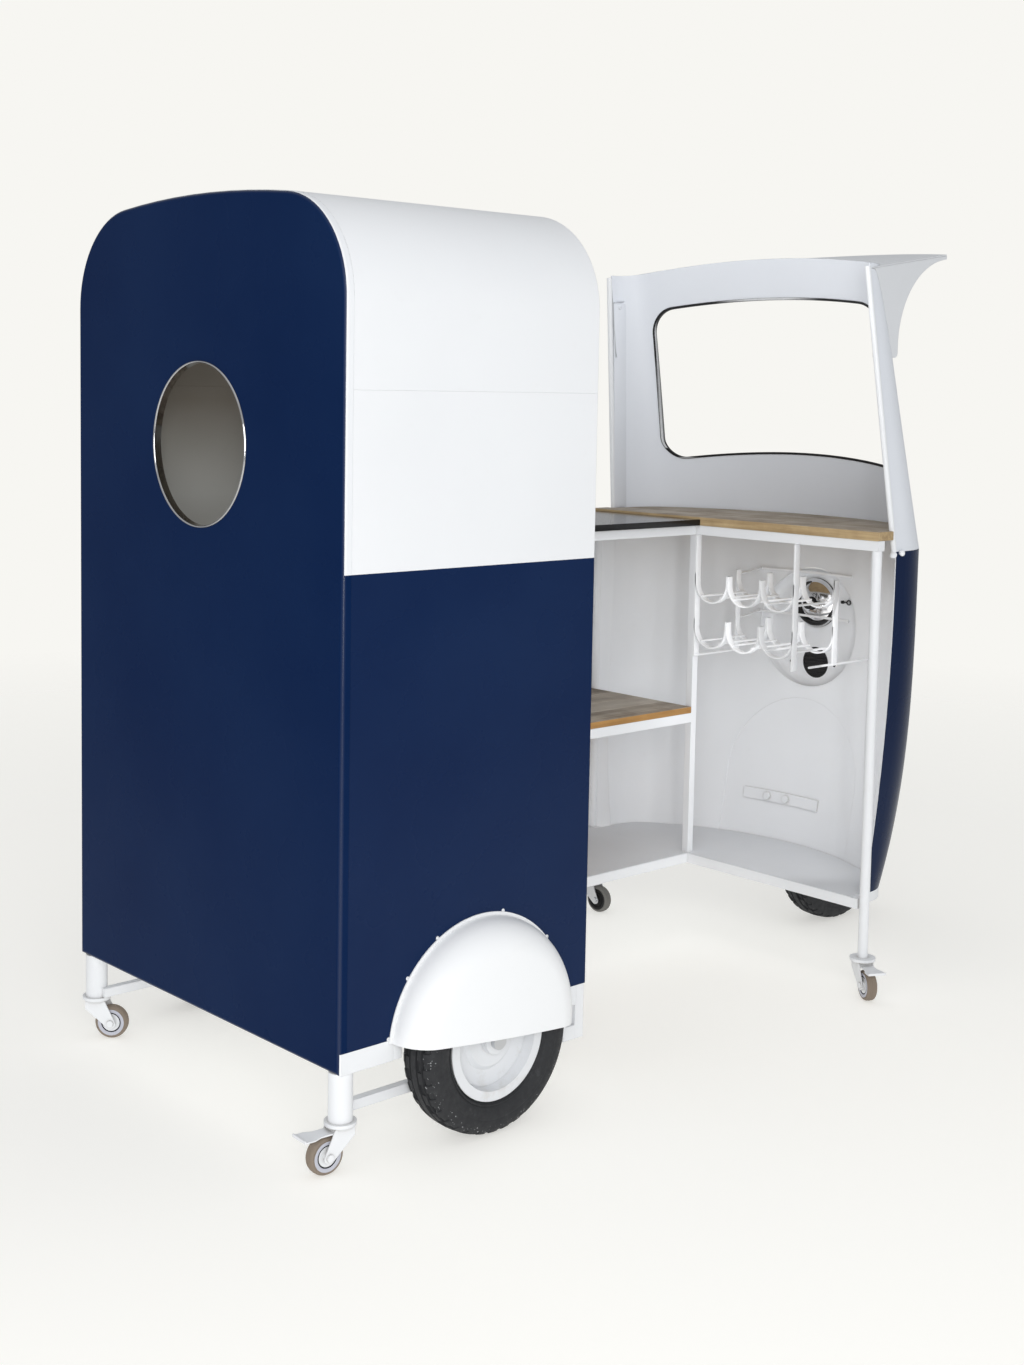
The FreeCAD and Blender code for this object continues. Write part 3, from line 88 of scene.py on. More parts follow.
lightSetup = {
    "backdrop": (0.930, 0.922, 0.888),
    "skyTone": (0.97, 0.985, 1.0),
    "skyFoot": -0.1,
    "horizon": 0.50,
    "zenith": 0.56,
    "lamps": (
        # name, place, target, size across and up, power
        ("keySoftbox", (-3.4, -3.9, 2.0), (-0.8, -0.4, 0.9), (2.4, 2.4), 82),
        ("leftSoftbox", (-6.4, -1.6, 2.6), (-0.8, 0, 0.9), (3.4, 3.0), 30),
        ("overheadSoftbox", (-0.4, -1.2, 5.2), (0, 0, 1.0), (5.0, 3.6), 10),
        ("noseFill", (0.53, -0.20, 0.66), (0.85, 0.16, 0.55), (0.5, 0.7), 0.50),
        ("bayFill", (-0.05, -0.35, 0.78), (0.25, 0.48, 0.72), (0.5, 0.6), 0.45),
        ("panelFill", (-0.15, -0.25, 1.85), (0.75, 0.1, 1.22), (0.6, 0.4), 2.1),
        ("cornerStrip", (-4.6, -5.4, 1.3), (-1.1, -0.5, 0.9), (0.35, 2.6), 40),
    ),
}

floorSetup = {
    "segments": 64,
    "radius": 9.0,
    # the floor fades out between these distances from the middle
    "clear": 2.4,
    "faded": 6.0,
    "tone": (0.62, 0.613, 0.590),
    "roughness": 0.9,
    "glow": 0.52,
}


def softbox(name, place, target, size, power):
    data = bpy.data.lights.new(name, "AREA")
    data.shape = "RECTANGLE"
    data.size, data.size_y = size
    data.energy = power
    lamp = bpy.data.objects.new(name, data)
    lamp.location = place
    lamp.visible_camera = False
    lamp.rotation_euler = (Vector(target) - Vector(place)).to_track_quat("-Z", "Y").to_euler()
    scene.collection.objects.link(lamp)


def studioAir(setup):
    world = bpy.data.worlds.new("studioAir")
    world.use_nodes = True
    nodes, links = world.node_tree.nodes, world.node_tree.links
    sky = nodes["Background"]
    height = nodes.new("ShaderNodeSeparateXYZ")
    links.new(nodes.new("ShaderNodeTexCoord").outputs["Generated"], height.inputs[0])
    shade = nodes.new("ShaderNodeMapRange")
    shade.inputs["From Min"].default_value = setup["skyFoot"]
    shade.inputs["To Min"].default_value = setup["horizon"]
    shade.inputs["To Max"].default_value = setup["zenith"]
    links.new(height.outputs["Z"], shade.inputs["Value"])
    links.new(shade.outputs[0], sky.inputs["Strength"])
    backdrop = nodes.new("ShaderNodeBackground")
    backdrop.inputs["Color"].default_value = (*setup["backdrop"], 1)
    seen = nodes.new("ShaderNodeMixShader")
    links.new(nodes.new("ShaderNodeLightPath").outputs["Is Camera Ray"], seen.inputs[0])
    links.new(sky.outputs[0], seen.inputs[1])
    links.new(backdrop.outputs[0], seen.inputs[2])
    links.new(seen.outputs[0], nodes["World Output"].inputs["Surface"])
    sky.inputs["Color"].default_value = (*setup["skyTone"], 1)
    scene.world = world


def dressStage(setup, ground):
    studioAir(setup)
    for lamp in setup["lamps"]:
        softbox(*lamp)
    floor = freshMesh(bpy.ops.mesh.primitive_circle_add, "studioFloor", vertices=ground["segments"],
                      radius=ground["radius"], fill_type="NGON")
    floor.data.materials.append(floorFinish(ground, setup["backdrop"]))


# materials: a wrapped socket for sums, and one method for every other node

class Signal:
    def __init__(self, socket):
        self.socket = socket

    def maths(self, operation, other, swapped=False):
        tree = self.socket.id_data
        node = tree.nodes.new("ShaderNodeMath")
        node.operation = operation
        for slot, value in zip(node.inputs, (other, self) if swapped else (self, other)):
            plug(slot, value)
        return Signal(node.outputs[0])

    def __add__(self, other):
        return self.maths("ADD", other)

    def __radd__(self, other):
        return self.maths("ADD", other, True)

    def __sub__(self, other):
        return self.maths("SUBTRACT", other)

    def __rsub__(self, other):
        return self.maths("SUBTRACT", other, True)

    def __mul__(self, other):
        return self.maths("MULTIPLY", other)

    def __rmul__(self, other):
        return self.maths("MULTIPLY", other, True)

    def __truediv__(self, other):
        return self.maths("DIVIDE", other)

    def __gt__(self, other):
        return self.maths("GREATER_THAN", other)

    def __lt__(self, other):
        return self.maths("LESS_THAN", other)


def plug(slot, value):
    if isinstance(value, Signal):
        slot.id_data.links.new(value.socket, slot)
    elif slot.type == "RGBA" and len(value) == 3:
        slot.default_value = (*value, 1)
    else:
        slot.default_value = value


class Finish:
    def __init__(self, name):
        self.material = bpy.data.materials.new(name)
        self.material.use_nodes = True
        self.tree = self.material.node_tree
        self.tree.nodes.clear()

    def node(self, kind, settings=None, output=0, **inputs):
        made = self.tree.nodes.new("ShaderNode" + kind)
        for key, value in (settings or {}).items():
            if key == "stops":
                stops = made.color_ramp.elements
                while len(stops) < len(value):
                    stops.new(0.5)
                for stop, (position, tone) in zip(stops, value):
                    stop.position = position
                    stop.color = (*tone, 1)
            else:
                setattr(made, key, value)
        for key, value in inputs.items():
            # i6 is the socket of that number, From_Min the one of that name
            numbered = key[0] == "i" and key[1:].isdigit()
            plug(made.inputs[int(key[1:]) if numbered else key.replace("_", " ")], value)
        return Signal(made.outputs[output])

    def place(self):
        return self.node("TexCoord", output="Object")

    def axis(self, letter, vector=None):
        return self.node("SeparateXYZ", output=letter, Vector=vector or self.place())

    def normal(self, kind="True Normal"):
        return self.node("NewGeometry", output=kind)

    def vectors(self, operation, first, second=(0, 0, 0), output=0):
        return self.node("VectorMath", {"operation": operation}, output, i0=first, i1=second)

    def noise(self, scale, detail, roughness=0.5, vector=None):
        vector = vector or self.place()
        return self.node("TexNoise", Vector=vector, Scale=scale, Detail=detail, Roughness=roughness)

    def stretched(self, sizes):
        return self.node("Mapping", Vector=self.place(), Scale=sizes)

    def ramp(self, value, stops):
        return self.node("ValToRGB", {"stops": stops}, Fac=value)

    def between(self, value, low, high, newLow=0.0, newHigh=1.0):
        return self.node("MapRange", Value=value, From_Min=low, From_Max=high,
                         To_Min=newLow, To_Max=newHigh)

    def mix(self, factor, first, second):
        return self.node("Mix", {"data_type": "RGBA"}, 2, i0=factor, i6=first, i7=second)

    def bump(self, height, strength, distance):
        return self.node("Bump", Height=height, Strength=strength, Distance=distance)

    def finish(self, **inputs):
        shader = self.node("BsdfPrincipled", **inputs)
        surface = self.tree.nodes.new("ShaderNodeOutputMaterial").inputs["Surface"]
        self.tree.links.new(shader.socket, surface)
        return self.material


def floorFinish(ground, backdrop):
    # a pale sweep that fades into the backdrop well outside the bar
    look = Finish("studioFloor")
    away = look.vectors("LENGTH", look.place(), output=1)
    return look.finish(Base_Color=ground["tone"], Roughness=ground["roughness"], Specular_IOR_Level=0.0,
                       Emission_Color=backdrop, Emission_Strength=ground["glow"],
                       Alpha=look.between(away, ground["clear"], ground["faded"], 1.0, 0.0))


navyTone = {"paint": (0.0026, 0.0145, 0.0620), "faded": (0.0048, 0.0190, 0.0710),
            "dust": (0.07, 0.08, 0.10), "deep": (0.0030, 0.0050, 0.0120)}
# the dark tone laid into creases by the white paint is painted shade
whiteTone = {"paint": (0.83, 0.845, 0.87), "faded": (0.79, 0.805, 0.83), "grime": (0.52, 0.49, 0.44),
             "corner": (0.40, 0.38, 0.35), "shaded": (0.60, 0.62, 0.65), "cool": (0.66, 0.72, 0.84),
             "bright": (0.955, 0.965, 0.975)}
# the cabinet's inside: a dark tone that is painted shade, and a paler tone that is painted light
interiorShadeTone = {"paint": (0.245, 0.218, 0.180), "faded": (0.280, 0.255, 0.215), "pale": (0.54, 0.545, 0.52)}
blackTone = {"tyre": (0.0260, 0.0270, 0.0298), "rubber": (0.012, 0.012, 0.013)}


def tinted(base, share, tone):
    # a layer with some of another tone stirred in
    def layer(look):
        shade, shine = base(look)
        return look.mix(share, shade, tone), shine
    return layer


def navyLayer(look):
    patches = look.between(look.noise(2.6, 4), 0.35, 0.7)
    tone = look.mix(patches, navyTone["paint"], navyTone["faded"])
    specks = look.noise(420, 2) > 0.73
    tone = look.mix(specks * 0.10, tone, navyTone["dust"])
    shine = look.between(look.noise(7, 5), 0.3, 0.75, 0.24, 0.34)
    return tone, shine


def whiteLayer(look):
    patches = look.between(look.noise(3.1, 5), 0.38, 0.72)
    tone = look.mix(patches * 0.6, whiteTone["paint"], whiteTone["faded"])
    smears = look.between(look.noise(24, 6, 0.65), 0.62, 0.82)
    tone = look.mix(smears * 0.08, tone, whiteTone["grime"])
    # painted shade: ambient occlusion darkens the paint in creases and where parts stand close together
    shadeInCreases = look.node("AmbientOcclusion", {"samples": 5}, "AO", Distance=0.012)
    tone = look.mix(look.between(shadeInCreases, 0.75, 0.15, 0.0, 0.55), tone, whiteTone["corner"])
    shine = look.between(look.noise(9, 5), 0.3, 0.75, 0.32, 0.46)
    return tone, shine


def rimLayer(look):
    tone, shine = whiteLayer(look)
    stained = look.between(look.noise(17, 6, 0.7), 0.52, 0.74)
    # painted shade: the rim's white is darkened all over toward a shaded tone; the blotches mixed in after it are
    # stains
    tone = look.mix(0.3, tone, whiteTone["shaded"])
    return look.mix(stained * 0.45, tone, whiteTone["grime"]), shine


def plateLayer(look):
    # white with painted shade packed along every edge
    tone, shine = whiteLayer(look)
    edgeShade = look.node("AmbientOcclusion", {"samples": 6}, "AO", Distance=0.02)
    return look.mix(look.between(edgeShade, 0.9, 0.3, 0.0, 0.8), tone, whiteTone["corner"]), shine


# heights where the paint inside the cabinet changes, and where its painted shade gives way to painted light lower
# down
paintHeights = {"railTop": 0.262, "primerDark": 1.44, "primerPale": 1.22}


def frameLayer(look):
    # white on the rails at the foot, painted shade on the tubes inside
    return layered(look, look.axis("Z") < paintHeights["railTop"], whiteLayer(look), primerLayer(look))


def primerLayer(look):
    # painted shade: a dark taupe stands in for the shade inside the cabinet
    patches = look.between(look.noise(4.0, 5), 0.35, 0.7)
    tone = look.mix(patches, interiorShadeTone["paint"], interiorShadeTone["faded"])
    # painted light: paler lower down, where light falls in through the porthole
    lower = look.between(look.axis("Z"), paintHeights["primerDark"], paintHeights["primerPale"])
    tone = look.mix(lower, tone, interiorShadeTone["pale"])
    shine = look.between(look.noise(11, 4), 0.3, 0.7, 0.45, 0.6)
    return tone, shine


# painted shade: the outside of the nose gets a darker copy of the navy paint
shadedNoseNavyLayer = tinted(navyLayer, 0.3, navyTone["deep"])
# painted light: the upper sides and the roof get a lighter copy of the white paint
litSheetLayer = tinted(whiteLayer, 0.2, whiteTone["bright"])
# painted light: the mudguards get a still lighter copy of the white paint
litGuardLayer = tinted(whiteLayer, 0.5, whiteTone["bright"])
# painted shade: the windscreen panel and its stile get a darker, bluish copy of the white paint
coolShadedPanelLayer = tinted(whiteLayer, 0.3, whiteTone["cool"])
# painted shade: the visor, its cheeks and the floor plate get a darker copy of the white paint
shadedVisorLayer = tinted(whiteLayer, 0.5, whiteTone["shaded"])

sheetRelief = {"ripple": 0.4, "peel": 0.005, "strength": 0.25, "depth": 0.006, "edge": 0.0016}


def sheetBump(look):
    # long ripples and fine orange peel, over edges that the paint has rounded
    height = look.noise(5, 2) * sheetRelief["ripple"] + look.noise(650, 1) * sheetRelief["peel"]
    rounded = look.node("Bevel", {"samples": 4}, Radius=sheetRelief["edge"])
    return look.node("Bump", Height=height, Strength=sheetRelief["strength"],
                     Distance=sheetRelief["depth"], Normal=rounded)


def paintedWith(look, paint, specular, **coat):
    tone, shine = paint
    return look.finish(Base_Color=tone, Roughness=shine, Specular_IOR_Level=specular,
                       Normal=sheetBump(look), **coat)


def paintFinish(name, layer, specular):
    look = Finish(name)
    return paintedWith(look, layer(look), specular)


def layered(look, mask, covered, bare):
    # one paint where the mask is 1, the other where it is 0
    tone = look.mix(mask, bare[0], covered[0])
    shine = mask * covered[1] + (1 - mask) * bare[1]
    return tone, shine


def facingOut(look, centre, spread=(1, 1, 1), least=0.02):
    # 1 on the faces that look away from the centre
    outward = look.vectors("MULTIPLY", look.vectors("SUBTRACT", look.place(), centre), spread)
    return look.vectors("DOT_PRODUCT", look.normal(), outward, 1) > least


def twoSidedFinish(name, centre, outer, inner, specular, spread=(1, 1, 1)):
    look = Finish(name)
    paint = layered(look, facingOut(look, centre, spread), outer(look), inner(look))
    return paintedWith(look, paint, specular)


rearSetup = {
    "edgeFrom": -0.55,
    "specular": 0.03,
    # X of the normal where the coat on the bend comes in, and where it goes out again
    "coatIn": (-0.98, -0.72),
    "coatOut": (-0.12, -0.55),
    "coat": 0.8,
    "coatRoughness": 0.22,
}


def rearPanelFinish(name, setup, centre, paintLine, sheetFoot):
    # navy outside, the cabinet's painted shade inside, and the turned edge white where the side beside it is
    look = Finish(name)
    navy, white, insideShade = navyLayer(look), whiteLayer(look), primerLayer(look)
    bend = look.axis("X", look.normal("Normal"))
    coated = look.between(bend, *setup["coatIn"]) * look.between(bend, *setup["coatOut"])
    height = look.axis("Z")
    outside = look.axis("X", look.normal()) > setup["edgeFrom"]
    edge = outside * (1 - (height < paintLine) * (height > sheetFoot))
    painted = layered(look, edge, white, navy)
    paint = layered(look, facingOut(look, centre), painted, insideShade)
    return paintedWith(look, paint, setup["specular"], Coat_Weight=coated * setup["coat"],
                       Coat_Roughness=setup["coatRoughness"])


def metalFinish(name, tone, low, high, grain):
    look = Finish(name)
    smear = look.noise(60, 5, 0.6)
    scratch = look.noise(1, 3, 0.5, look.stretched((900, 900, 60)))
    shade = look.between(smear, 0.3, 0.75, 0.82, 1.0)
    darker = tuple(part * 0.72 for part in tone)
    return look.finish(Base_Color=look.mix(shade, darker, tone), Metallic=1.0,
                       Roughness=look.between(smear, 0.3, 0.7, low, high),
                       Normal=look.bump(scratch, grain, 0.0004))


def rubberFinish(name, tone, dust, grain=0.3, flecks=0.0):
    look = Finish(name)
    worn = look.between(look.noise(38, 6, 0.7), 0.58, 0.82)
    shade = look.mix(worn * 0.5, tone, dust)
    if flecks:
        shade = look.mix((look.noise(190, 2) > 0.68) * flecks, shade, (0.55, 0.56, 0.58))
    return look.finish(Base_Color=shade, Specular_IOR_Level=0.3,
                       Roughness=look.between(look.noise(90, 4), 0.3, 0.7, 0.55, 0.8),
                       Normal=look.bump(look.noise(700, 3), grain, 0.0006))


def woodFinish(name, along, tones, edge, plank):
    # along is the axis that the planks run on; worn grey on top, fresh tan where it is sawn
    look = Finish(name)
    across = "Y" if along == "X" else "X"
    fine = {"X": (3.0, 110, 110), "Y": (110, 3.0, 110)}[along]
    broad = {"X": (0.9, 14, 14), "Y": (14, 0.9, 14)}[along]
    board = (look.axis(across) / plank).maths("FLOOR", 0.0)
    shift = look.node("TexWhiteNoise", {"noise_dimensions": "1D"}, W=board)
    grain = look.noise(1, 7, 0.65, look.stretched(fine))
    streak = look.noise(1, 5, 0.6, look.stretched(broad))
    blotch = look.between(look.noise(11, 4, 0.6), 0.3, 0.7)
    tone = look.ramp(grain * 0.36 + streak * 0.32 + shift * 0.17 + blotch * 0.15, tones)
    coarse = tuple(part * 0.5 for part in broad)
    knots = look.between(look.noise(1, 2, 0.4, look.stretched(coarse)), 0.66, 0.80)
    tone = look.mix(knots * 0.55, tone, edge[0])
    sawn = look.axis("Z", look.normal()) < 0.5
    bare = look.mix(look.between(grain, 0.3, 0.75) * 0.6 + blotch * 0.4, edge[0], edge[1])
    return look.finish(Base_Color=look.mix(sawn, tone, bare), Specular_IOR_Level=0.25,
                       Roughness=look.between(grain, 0.3, 0.7, 0.5, 0.75),
                       Normal=look.bump(grain, 0.5, 0.0012))


def sealFinish(name, dark, flange, cabAxis, bareFrom, bareTo):
    # black rubber whose flange has been painted over on the side that looks into the cab
    look = Finish(name)
    inward = look.vectors("SUBTRACT", cabAxis, look.place())
    inward = look.vectors("NORMALIZE", look.vectors("MULTIPLY", inward, (1, 1, 0)))
    rounded = look.node("Bevel", {"samples": 6}, Radius=0.0030)
    seen = look.vectors("DOT_PRODUCT", rounded, inward, 1)
    worn = look.between(look.noise(60, 5), 0.35, 0.7)
    painted = look.mix(worn * 0.4, flange, whiteTone["faded"])
    # the paint has worn off along the sill
    height = look.axis("Z")
    bare = (height > bareFrom) * (height < bareTo)
    covered = look.between(seen, 0.80, 0.92) * (1 - bare)
    return look.finish(Base_Color=look.mix(covered, dark, painted), Specular_IOR_Level=0.3,
                       Roughness=look.between(worn, 0.0, 1.0, 0.42, 0.6),
                       Normal=look.bump(look.noise(500, 2), 0.2, 0.0005))


def plainFinish(name, tone, roughness, specular=0.5):
    look = Finish(name)
    shade = look.between(look.noise(30, 4), 0.3, 0.7, 0.85, 1.0)
    darker = tuple(part * 0.6 for part in tone)
    worn = look.between(look.noise(120, 3), 0.3, 0.7, roughness * 0.85, roughness * 1.15)
    return look.finish(Base_Color=look.mix(shade, darker, tone), Specular_IOR_Level=specular,
                       Roughness=worn, Normal=look.bump(look.noise(400, 2), 0.1, 0.0005))


def glassFinish(name):
    look = Finish(name)
    return look.finish(Base_Color=(0.95, 0.97, 0.98), Roughness=0.04, IOR=1.5, Transmission_Weight=1.0)


def middleOf(node):
    low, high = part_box(node)
    return (low + high) / 2


insideNose = (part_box("nose_base_rail")[0].x, middleOf("nose_base_rail").y, 0)
insideScreen = (0.42, middleOf("nose_base_rail").y, 0)
insideCabinet = middleOf("cabinet_frame")
insideNacelle = middleOf("headlight_reflector")
insideSeam = (0.50, 0.47, 0)
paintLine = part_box("upper_side_near")[0].z
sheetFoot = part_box("lower_side_near")[0].z
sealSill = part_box("windscreen_seal")[0].z
sealBare = (sealSill + 0.005, sealSill + 0.03)  # heights between which the paint has come off
plankWidth = {"wood_top": 0.085, "wood_shelf": 0.095}

finishes = {
    "rear": rearPanelFinish("rearPaint", rearSetup, insideCabinet, paintLine, sheetFoot),
    # the inner faces of the sides and the roof carry the cabinet's painted shade
    "lowerSide": twoSidedFinish("lowerSidePaint", insideCabinet, navyLayer, primerLayer, 0.11, (0, 1, 0)),
    "upperSide": twoSidedFinish("upperSidePaint", insideCabinet, litSheetLayer, primerLayer, 0.3, (0, 1, 0)),
    "roof": twoSidedFinish("roofPaint", insideCabinet, litSheetLayer, primerLayer, 0.3, (0, 1, 1)),
    "guard": paintFinish("guardPaint", litGuardLayer, 0.3),
    "white": paintFinish("whitePaint", whiteLayer, 0.3),
    "visor": paintFinish("visorPaint", shadedVisorLayer, 0.3),
    "nose": twoSidedFinish("nosePaint", insideNose, shadedNoseNavyLayer, whiteLayer, 0.08, (1, 1, 0)),
    "nacelle": twoSidedFinish("nacellePaint", insideNacelle, navyLayer, whiteLayer, 0.2),
    "side": twoSidedFinish("sidePaint", (0, 0, 0), navyLayer, whiteLayer, 0.11, (0, 1, 0)),
    "seam": twoSidedFinish("seamPaint", insideSeam, navyLayer, whiteLayer, 0.11, (1, 1, 0)),
    "panel": paintFinish("panelPaint", coolShadedPanelLayer, 0.3),
    "chrome": metalFinish("brightTrim", (0.86, 0.86, 0.87), 0.06, 0.16, 0.05),
    "trim": metalFinish("portholeTrim", (0.56, 0.56, 0.57), 0.05, 0.12, 0.05),
    "zinc": metalFinish("zincPlate", (0.62, 0.63, 0.65), 0.28, 0.45, 0.2),
    "tyre": rubberFinish("tyreRubber", blackTone["tyre"], (0.102, 0.105, 0.112)),
    "tyreShoulder": rubberFinish("tyreShoulder", blackTone["tyre"], (0.110, 0.113, 0.119), 0.3, 0.6),
    "rubber": rubberFinish("blackRubber", blackTone["rubber"], (0.05, 0.05, 0.05)),
    "tread": rubberFinish("castorTread", (0.24, 0.195, 0.155), (0.36, 0.31, 0.26)),
    "greyTread": rubberFinish("greyTread", (0.17, 0.165, 0.155), (0.26, 0.25, 0.24)),
    "core": plainFinish("castorCore", (0.52, 0.53, 0.60), 0.45),
    "blackTop": plainFinish("blackBoard", (0.008, 0.008, 0.009), 0.14, 0.4),
    "seal": sealFinish("screenRubber", blackTone["rubber"], (0.62, 0.63, 0.65), insideScreen, *sealBare),
    "strap": plainFinish("rackPaint", (0.90, 0.91, 0.93), 0.38),
    "rim": paintFinish("rimPaint", rimLayer, 0.3),
    "plate": paintFinish("platePaint", plateLayer, 0.3),
    "frame": paintFinish("framePaint", frameLayer, 0.25),
    "plastic": plainFinish("blackMoulding", blackTone["rubber"], 0.5),
    "topWood": woodFinish("plankTop", "Y", ((0.34, (0.088, 0.062, 0.042)), (0.5, (0.280, 0.232, 0.178)),
                                            (0.66, (0.47, 0.415, 0.350))),
                          ((0.24, 0.155, 0.075), (0.62, 0.47, 0.27)), plankWidth["wood_top"]),
    "shelfWood": woodFinish("plankShelf", "X", ((0.34, (0.19, 0.145, 0.108)), (0.5, (0.44, 0.375, 0.30)),
                                                (0.66, (0.63, 0.57, 0.49))),
                            ((0.30, 0.150, 0.045), (0.56, 0.315, 0.110)), plankWidth["wood_shelf"]),
    "glass": glassFinish("lampGlass"),
}

nodeFinish = {
    "rear": ("rear_panel",),
    "lowerSide": ("lower_side_near", "lower_side_far"),
    "upperSide": ("upper_side_near", "upper_side_far"),
    "roof": ("roof_sheet",),
    "white": ("roof_hoop", "cabinet_floor", "wheel_tub_near", "wheel_tub_far", "rear_legs", "bar_frame",
              "nose_base_rail", "pillar_tubes", "front_mudguard", "front_fork", "brake_pedal_rear_near",
              "brake_pedal_front_near"),
    "guard": ("mudguard_near", "mudguard_far"),
    "plate": ("bracket_plate", "fork_bolts", "castor_plates", "castor_fork_front_near",
              "castor_fork_rear_near", "castor_fork_rear_far"),
    "frame": ("cabinet_frame",),
    "rim": ("rim_rear_near", "rim_rear_far", "rim_front"),
    "strap": ("bottle_rack",),
    "seal": ("windscreen_seal",),
    "panel": ("windscreen_panel",),
    "visor": ("visor", "visor_cheeks", "floor_plate"),
    "nose": ("nose_shell",),
    "nacelle": ("lamp_nacelle",),
    "side": ("side_skin",),
    "trim": ("porthole_trim",),
    "chrome": ("headlight_bezel", "headlight_reflector"),
    "zinc": ("rear_axle", "castor_fork_front_far"),
    "tyre": ("tyre_rear_near", "tyre_rear_far", "tyre_front"),
    "rubber": ("headlight_gasket",),
    "tread": ("castor_wheel_rear_near", "castor_wheel_rear_far", "castor_wheel_front_near",
              "castor_wheel_front_far"),
    "blackTop": ("black_top",),
    "plastic": ("horn_grille", "bulb_holder"),
    "topWood": ("wood_top",),
    "shelfWood": ("wood_shelf", "cabinet_shelves"),
    "glass": ("headlight_lens",),
}


def paintNodes():
    for key, names in nodeFinish.items():
        for name in names:
            slots = cadNodes[name].data.materials
            slots.clear()
            slots.append(finishes[key])


# modelling helpers: what a hand would do in edit mode

ringGap = 0.00001  # points of a turned piece that lie nearer than this are merged
nodeGap = 0.00002  # the same for the copy of a frame node
flatTurn = math.radians(0.5)  # faces of a copied node that turn less than this become one
near = 0.0005  # a point this close to a place counts as being there


def selectOnly(piece):
    bpy.ops.object.select_all(action="DESELECT")
    piece.select_set(True)
    bpy.context.view_layer.objects.active = piece


def freshMesh(adder, name, **settings):
    bpy.ops.object.select_all(action="DESELECT")
    adder(**settings)
    piece = bpy.context.object
    piece.name = name
    piece.data.name = name
    return piece


def editing(on):
    bpy.ops.object.mode_set(mode="EDIT" if on else "OBJECT")


def pickOnly(piece, kind, mode, wanted):
    # leaves the piece in edit mode with the wanted points or faces selected
    editing(False)
    for group in (piece.data.vertices, piece.data.edges, piece.data.polygons):
        group.foreach_set("select", [False] * len(group))
    for item in getattr(piece.data, kind):
        item.select = bool(wanted(item))
    editing(True)
    bpy.ops.mesh.select_mode(type=mode)


def pickFaces(piece, wanted):
    # the test gets the middle and the normal of each face
    pickOnly(piece, "polygons", "FACE", lambda face: wanted(face.center, face.normal))


def pickPoints(piece, wanted):
    # the test gets the place of each point
    pickOnly(piece, "vertices", "VERT", lambda point: wanted(point.co))


def turned(name, profile, segments):
    # a ring drawn out along the profile of radius and place on Z, ring by ring
    piece = freshMesh(bpy.ops.mesh.primitive_circle_add, name, vertices=segments, radius=profile[0][0])
    editing(True)
    bpy.ops.mesh.select_mode(type="VERT")
    bpy.ops.mesh.select_all(action="SELECT")
    bpy.ops.transform.translate(value=(0, 0, profile[0][1]))
    for (radius, along), (newRadius, newAlong) in zip(profile, profile[1:]):
        bpy.ops.mesh.extrude_region_move(TRANSFORM_OT_translate={"value": (0, 0, newAlong - along)})
        grown = newRadius / radius
        bpy.ops.transform.resize(value=(grown, grown, 1), center_override=(0, 0, 0))
    bpy.ops.mesh.select_all(action="SELECT")
    bpy.ops.mesh.remove_doubles(threshold=ringGap)
    bpy.ops.mesh.normals_make_consistent(inside=False)
    editing(False)
    return piece


def mirrored(half):
    # a profile that goes from one face to the middle, carried on to the other face
    return half + [(radius, -along) for radius, along in reversed(half) if along] + [half[0]]


def settle(piece, matrix):
    # puts a turn and a place into the mesh, so that the object itself stays at the origin
    piece.matrix_world = matrix
    selectOnly(piece)
    bpy.ops.object.transform_apply(location=True, rotation=True, scale=True)


def seatOn(piece, middle, axis=(0, 0, 1), spin=0.0):
    # turns the piece's Z to the axis and moves it to its place
    turn = Vector(axis).to_track_quat("Z", "Y").to_matrix().to_4x4() @ Matrix.Rotation(spin, 4, "Z")
    settle(piece, Matrix.Translation(middle) @ turn)


def seatAxes(piece, middle, sideways, upward):
    # turns the piece's X and Y to the two directions and moves it to its place
    sideways, upward = Vector(sideways).normalized(), Vector(upward).normalized()
    turn = Matrix((sideways, upward, sideways.cross(upward))).transposed().to_4x4()
    settle(piece, Matrix.Translation(middle) @ turn)


def another(piece, name):
    twin = piece.copy()
    twin.data = piece.data.copy()
    twin.name = name
    twin.data.name = name
    scene.collection.objects.link(twin)
    return twin


def joined(pieces, name):
    bpy.ops.object.select_all(action="DESELECT")
    for piece in pieces:
        piece.select_set(True)
    bpy.context.view_layer.objects.active = pieces[0]
    bpy.ops.object.join()
    pieces[0].name = name
    pieces[0].data.name = name
    return pieces[0]


def finishPiece(piece, body, materials, angle=40):
    selectOnly(piece)
    bpy.ops.object.shade_smooth_by_angle(angle=math.radians(angle))
    kept = [face.material_index for face in piece.data.polygons]
    piece.data.materials.clear()
    for key in materials:
        piece.data.materials.append(finishes[key])
    piece.data.polygons.foreach_set("material_index", kept)
    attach(piece, body)


def applied(piece, kind, **settings):
    change = piece.modifiers.new(kind.lower(), kind)
    for key, value in settings.items():
        setattr(change, key, value)
    bpy.context.view_layer.objects.active = piece
    bpy.ops.object.modifier_apply(modifier=change.name)


def eased(piece, width, angle=50):
    # rounds the edges that turn more than the angle
    applied(piece, "BEVEL", width=width, segments=2, limit_method="ANGLE",
            angle_limit=math.radians(angle))


def copiedNode(node, name):
    # a copy of a frame node with its loose triangles merged and its flat faces made whole
    piece = another(cadNodes[node], name)
    piece.hide_set(False)
    selectOnly(piece)
    if piece.data.has_custom_normals:
        bpy.ops.mesh.customdata_custom_splitnormals_clear()
    editing(True)
    bpy.ops.mesh.select_mode(type="VERT")
    bpy.ops.mesh.select_all(action="SELECT")
    bpy.ops.mesh.remove_doubles(threshold=nodeGap)
    bpy.ops.mesh.dissolve_limited(angle_limit=flatTurn)
    editing(False)
    return piece


jointAt = {joint["child"]: joint for joint in frame["joints"]}


# road tyres: a bulged wall with a bead rib, four grooves and notched shoulders

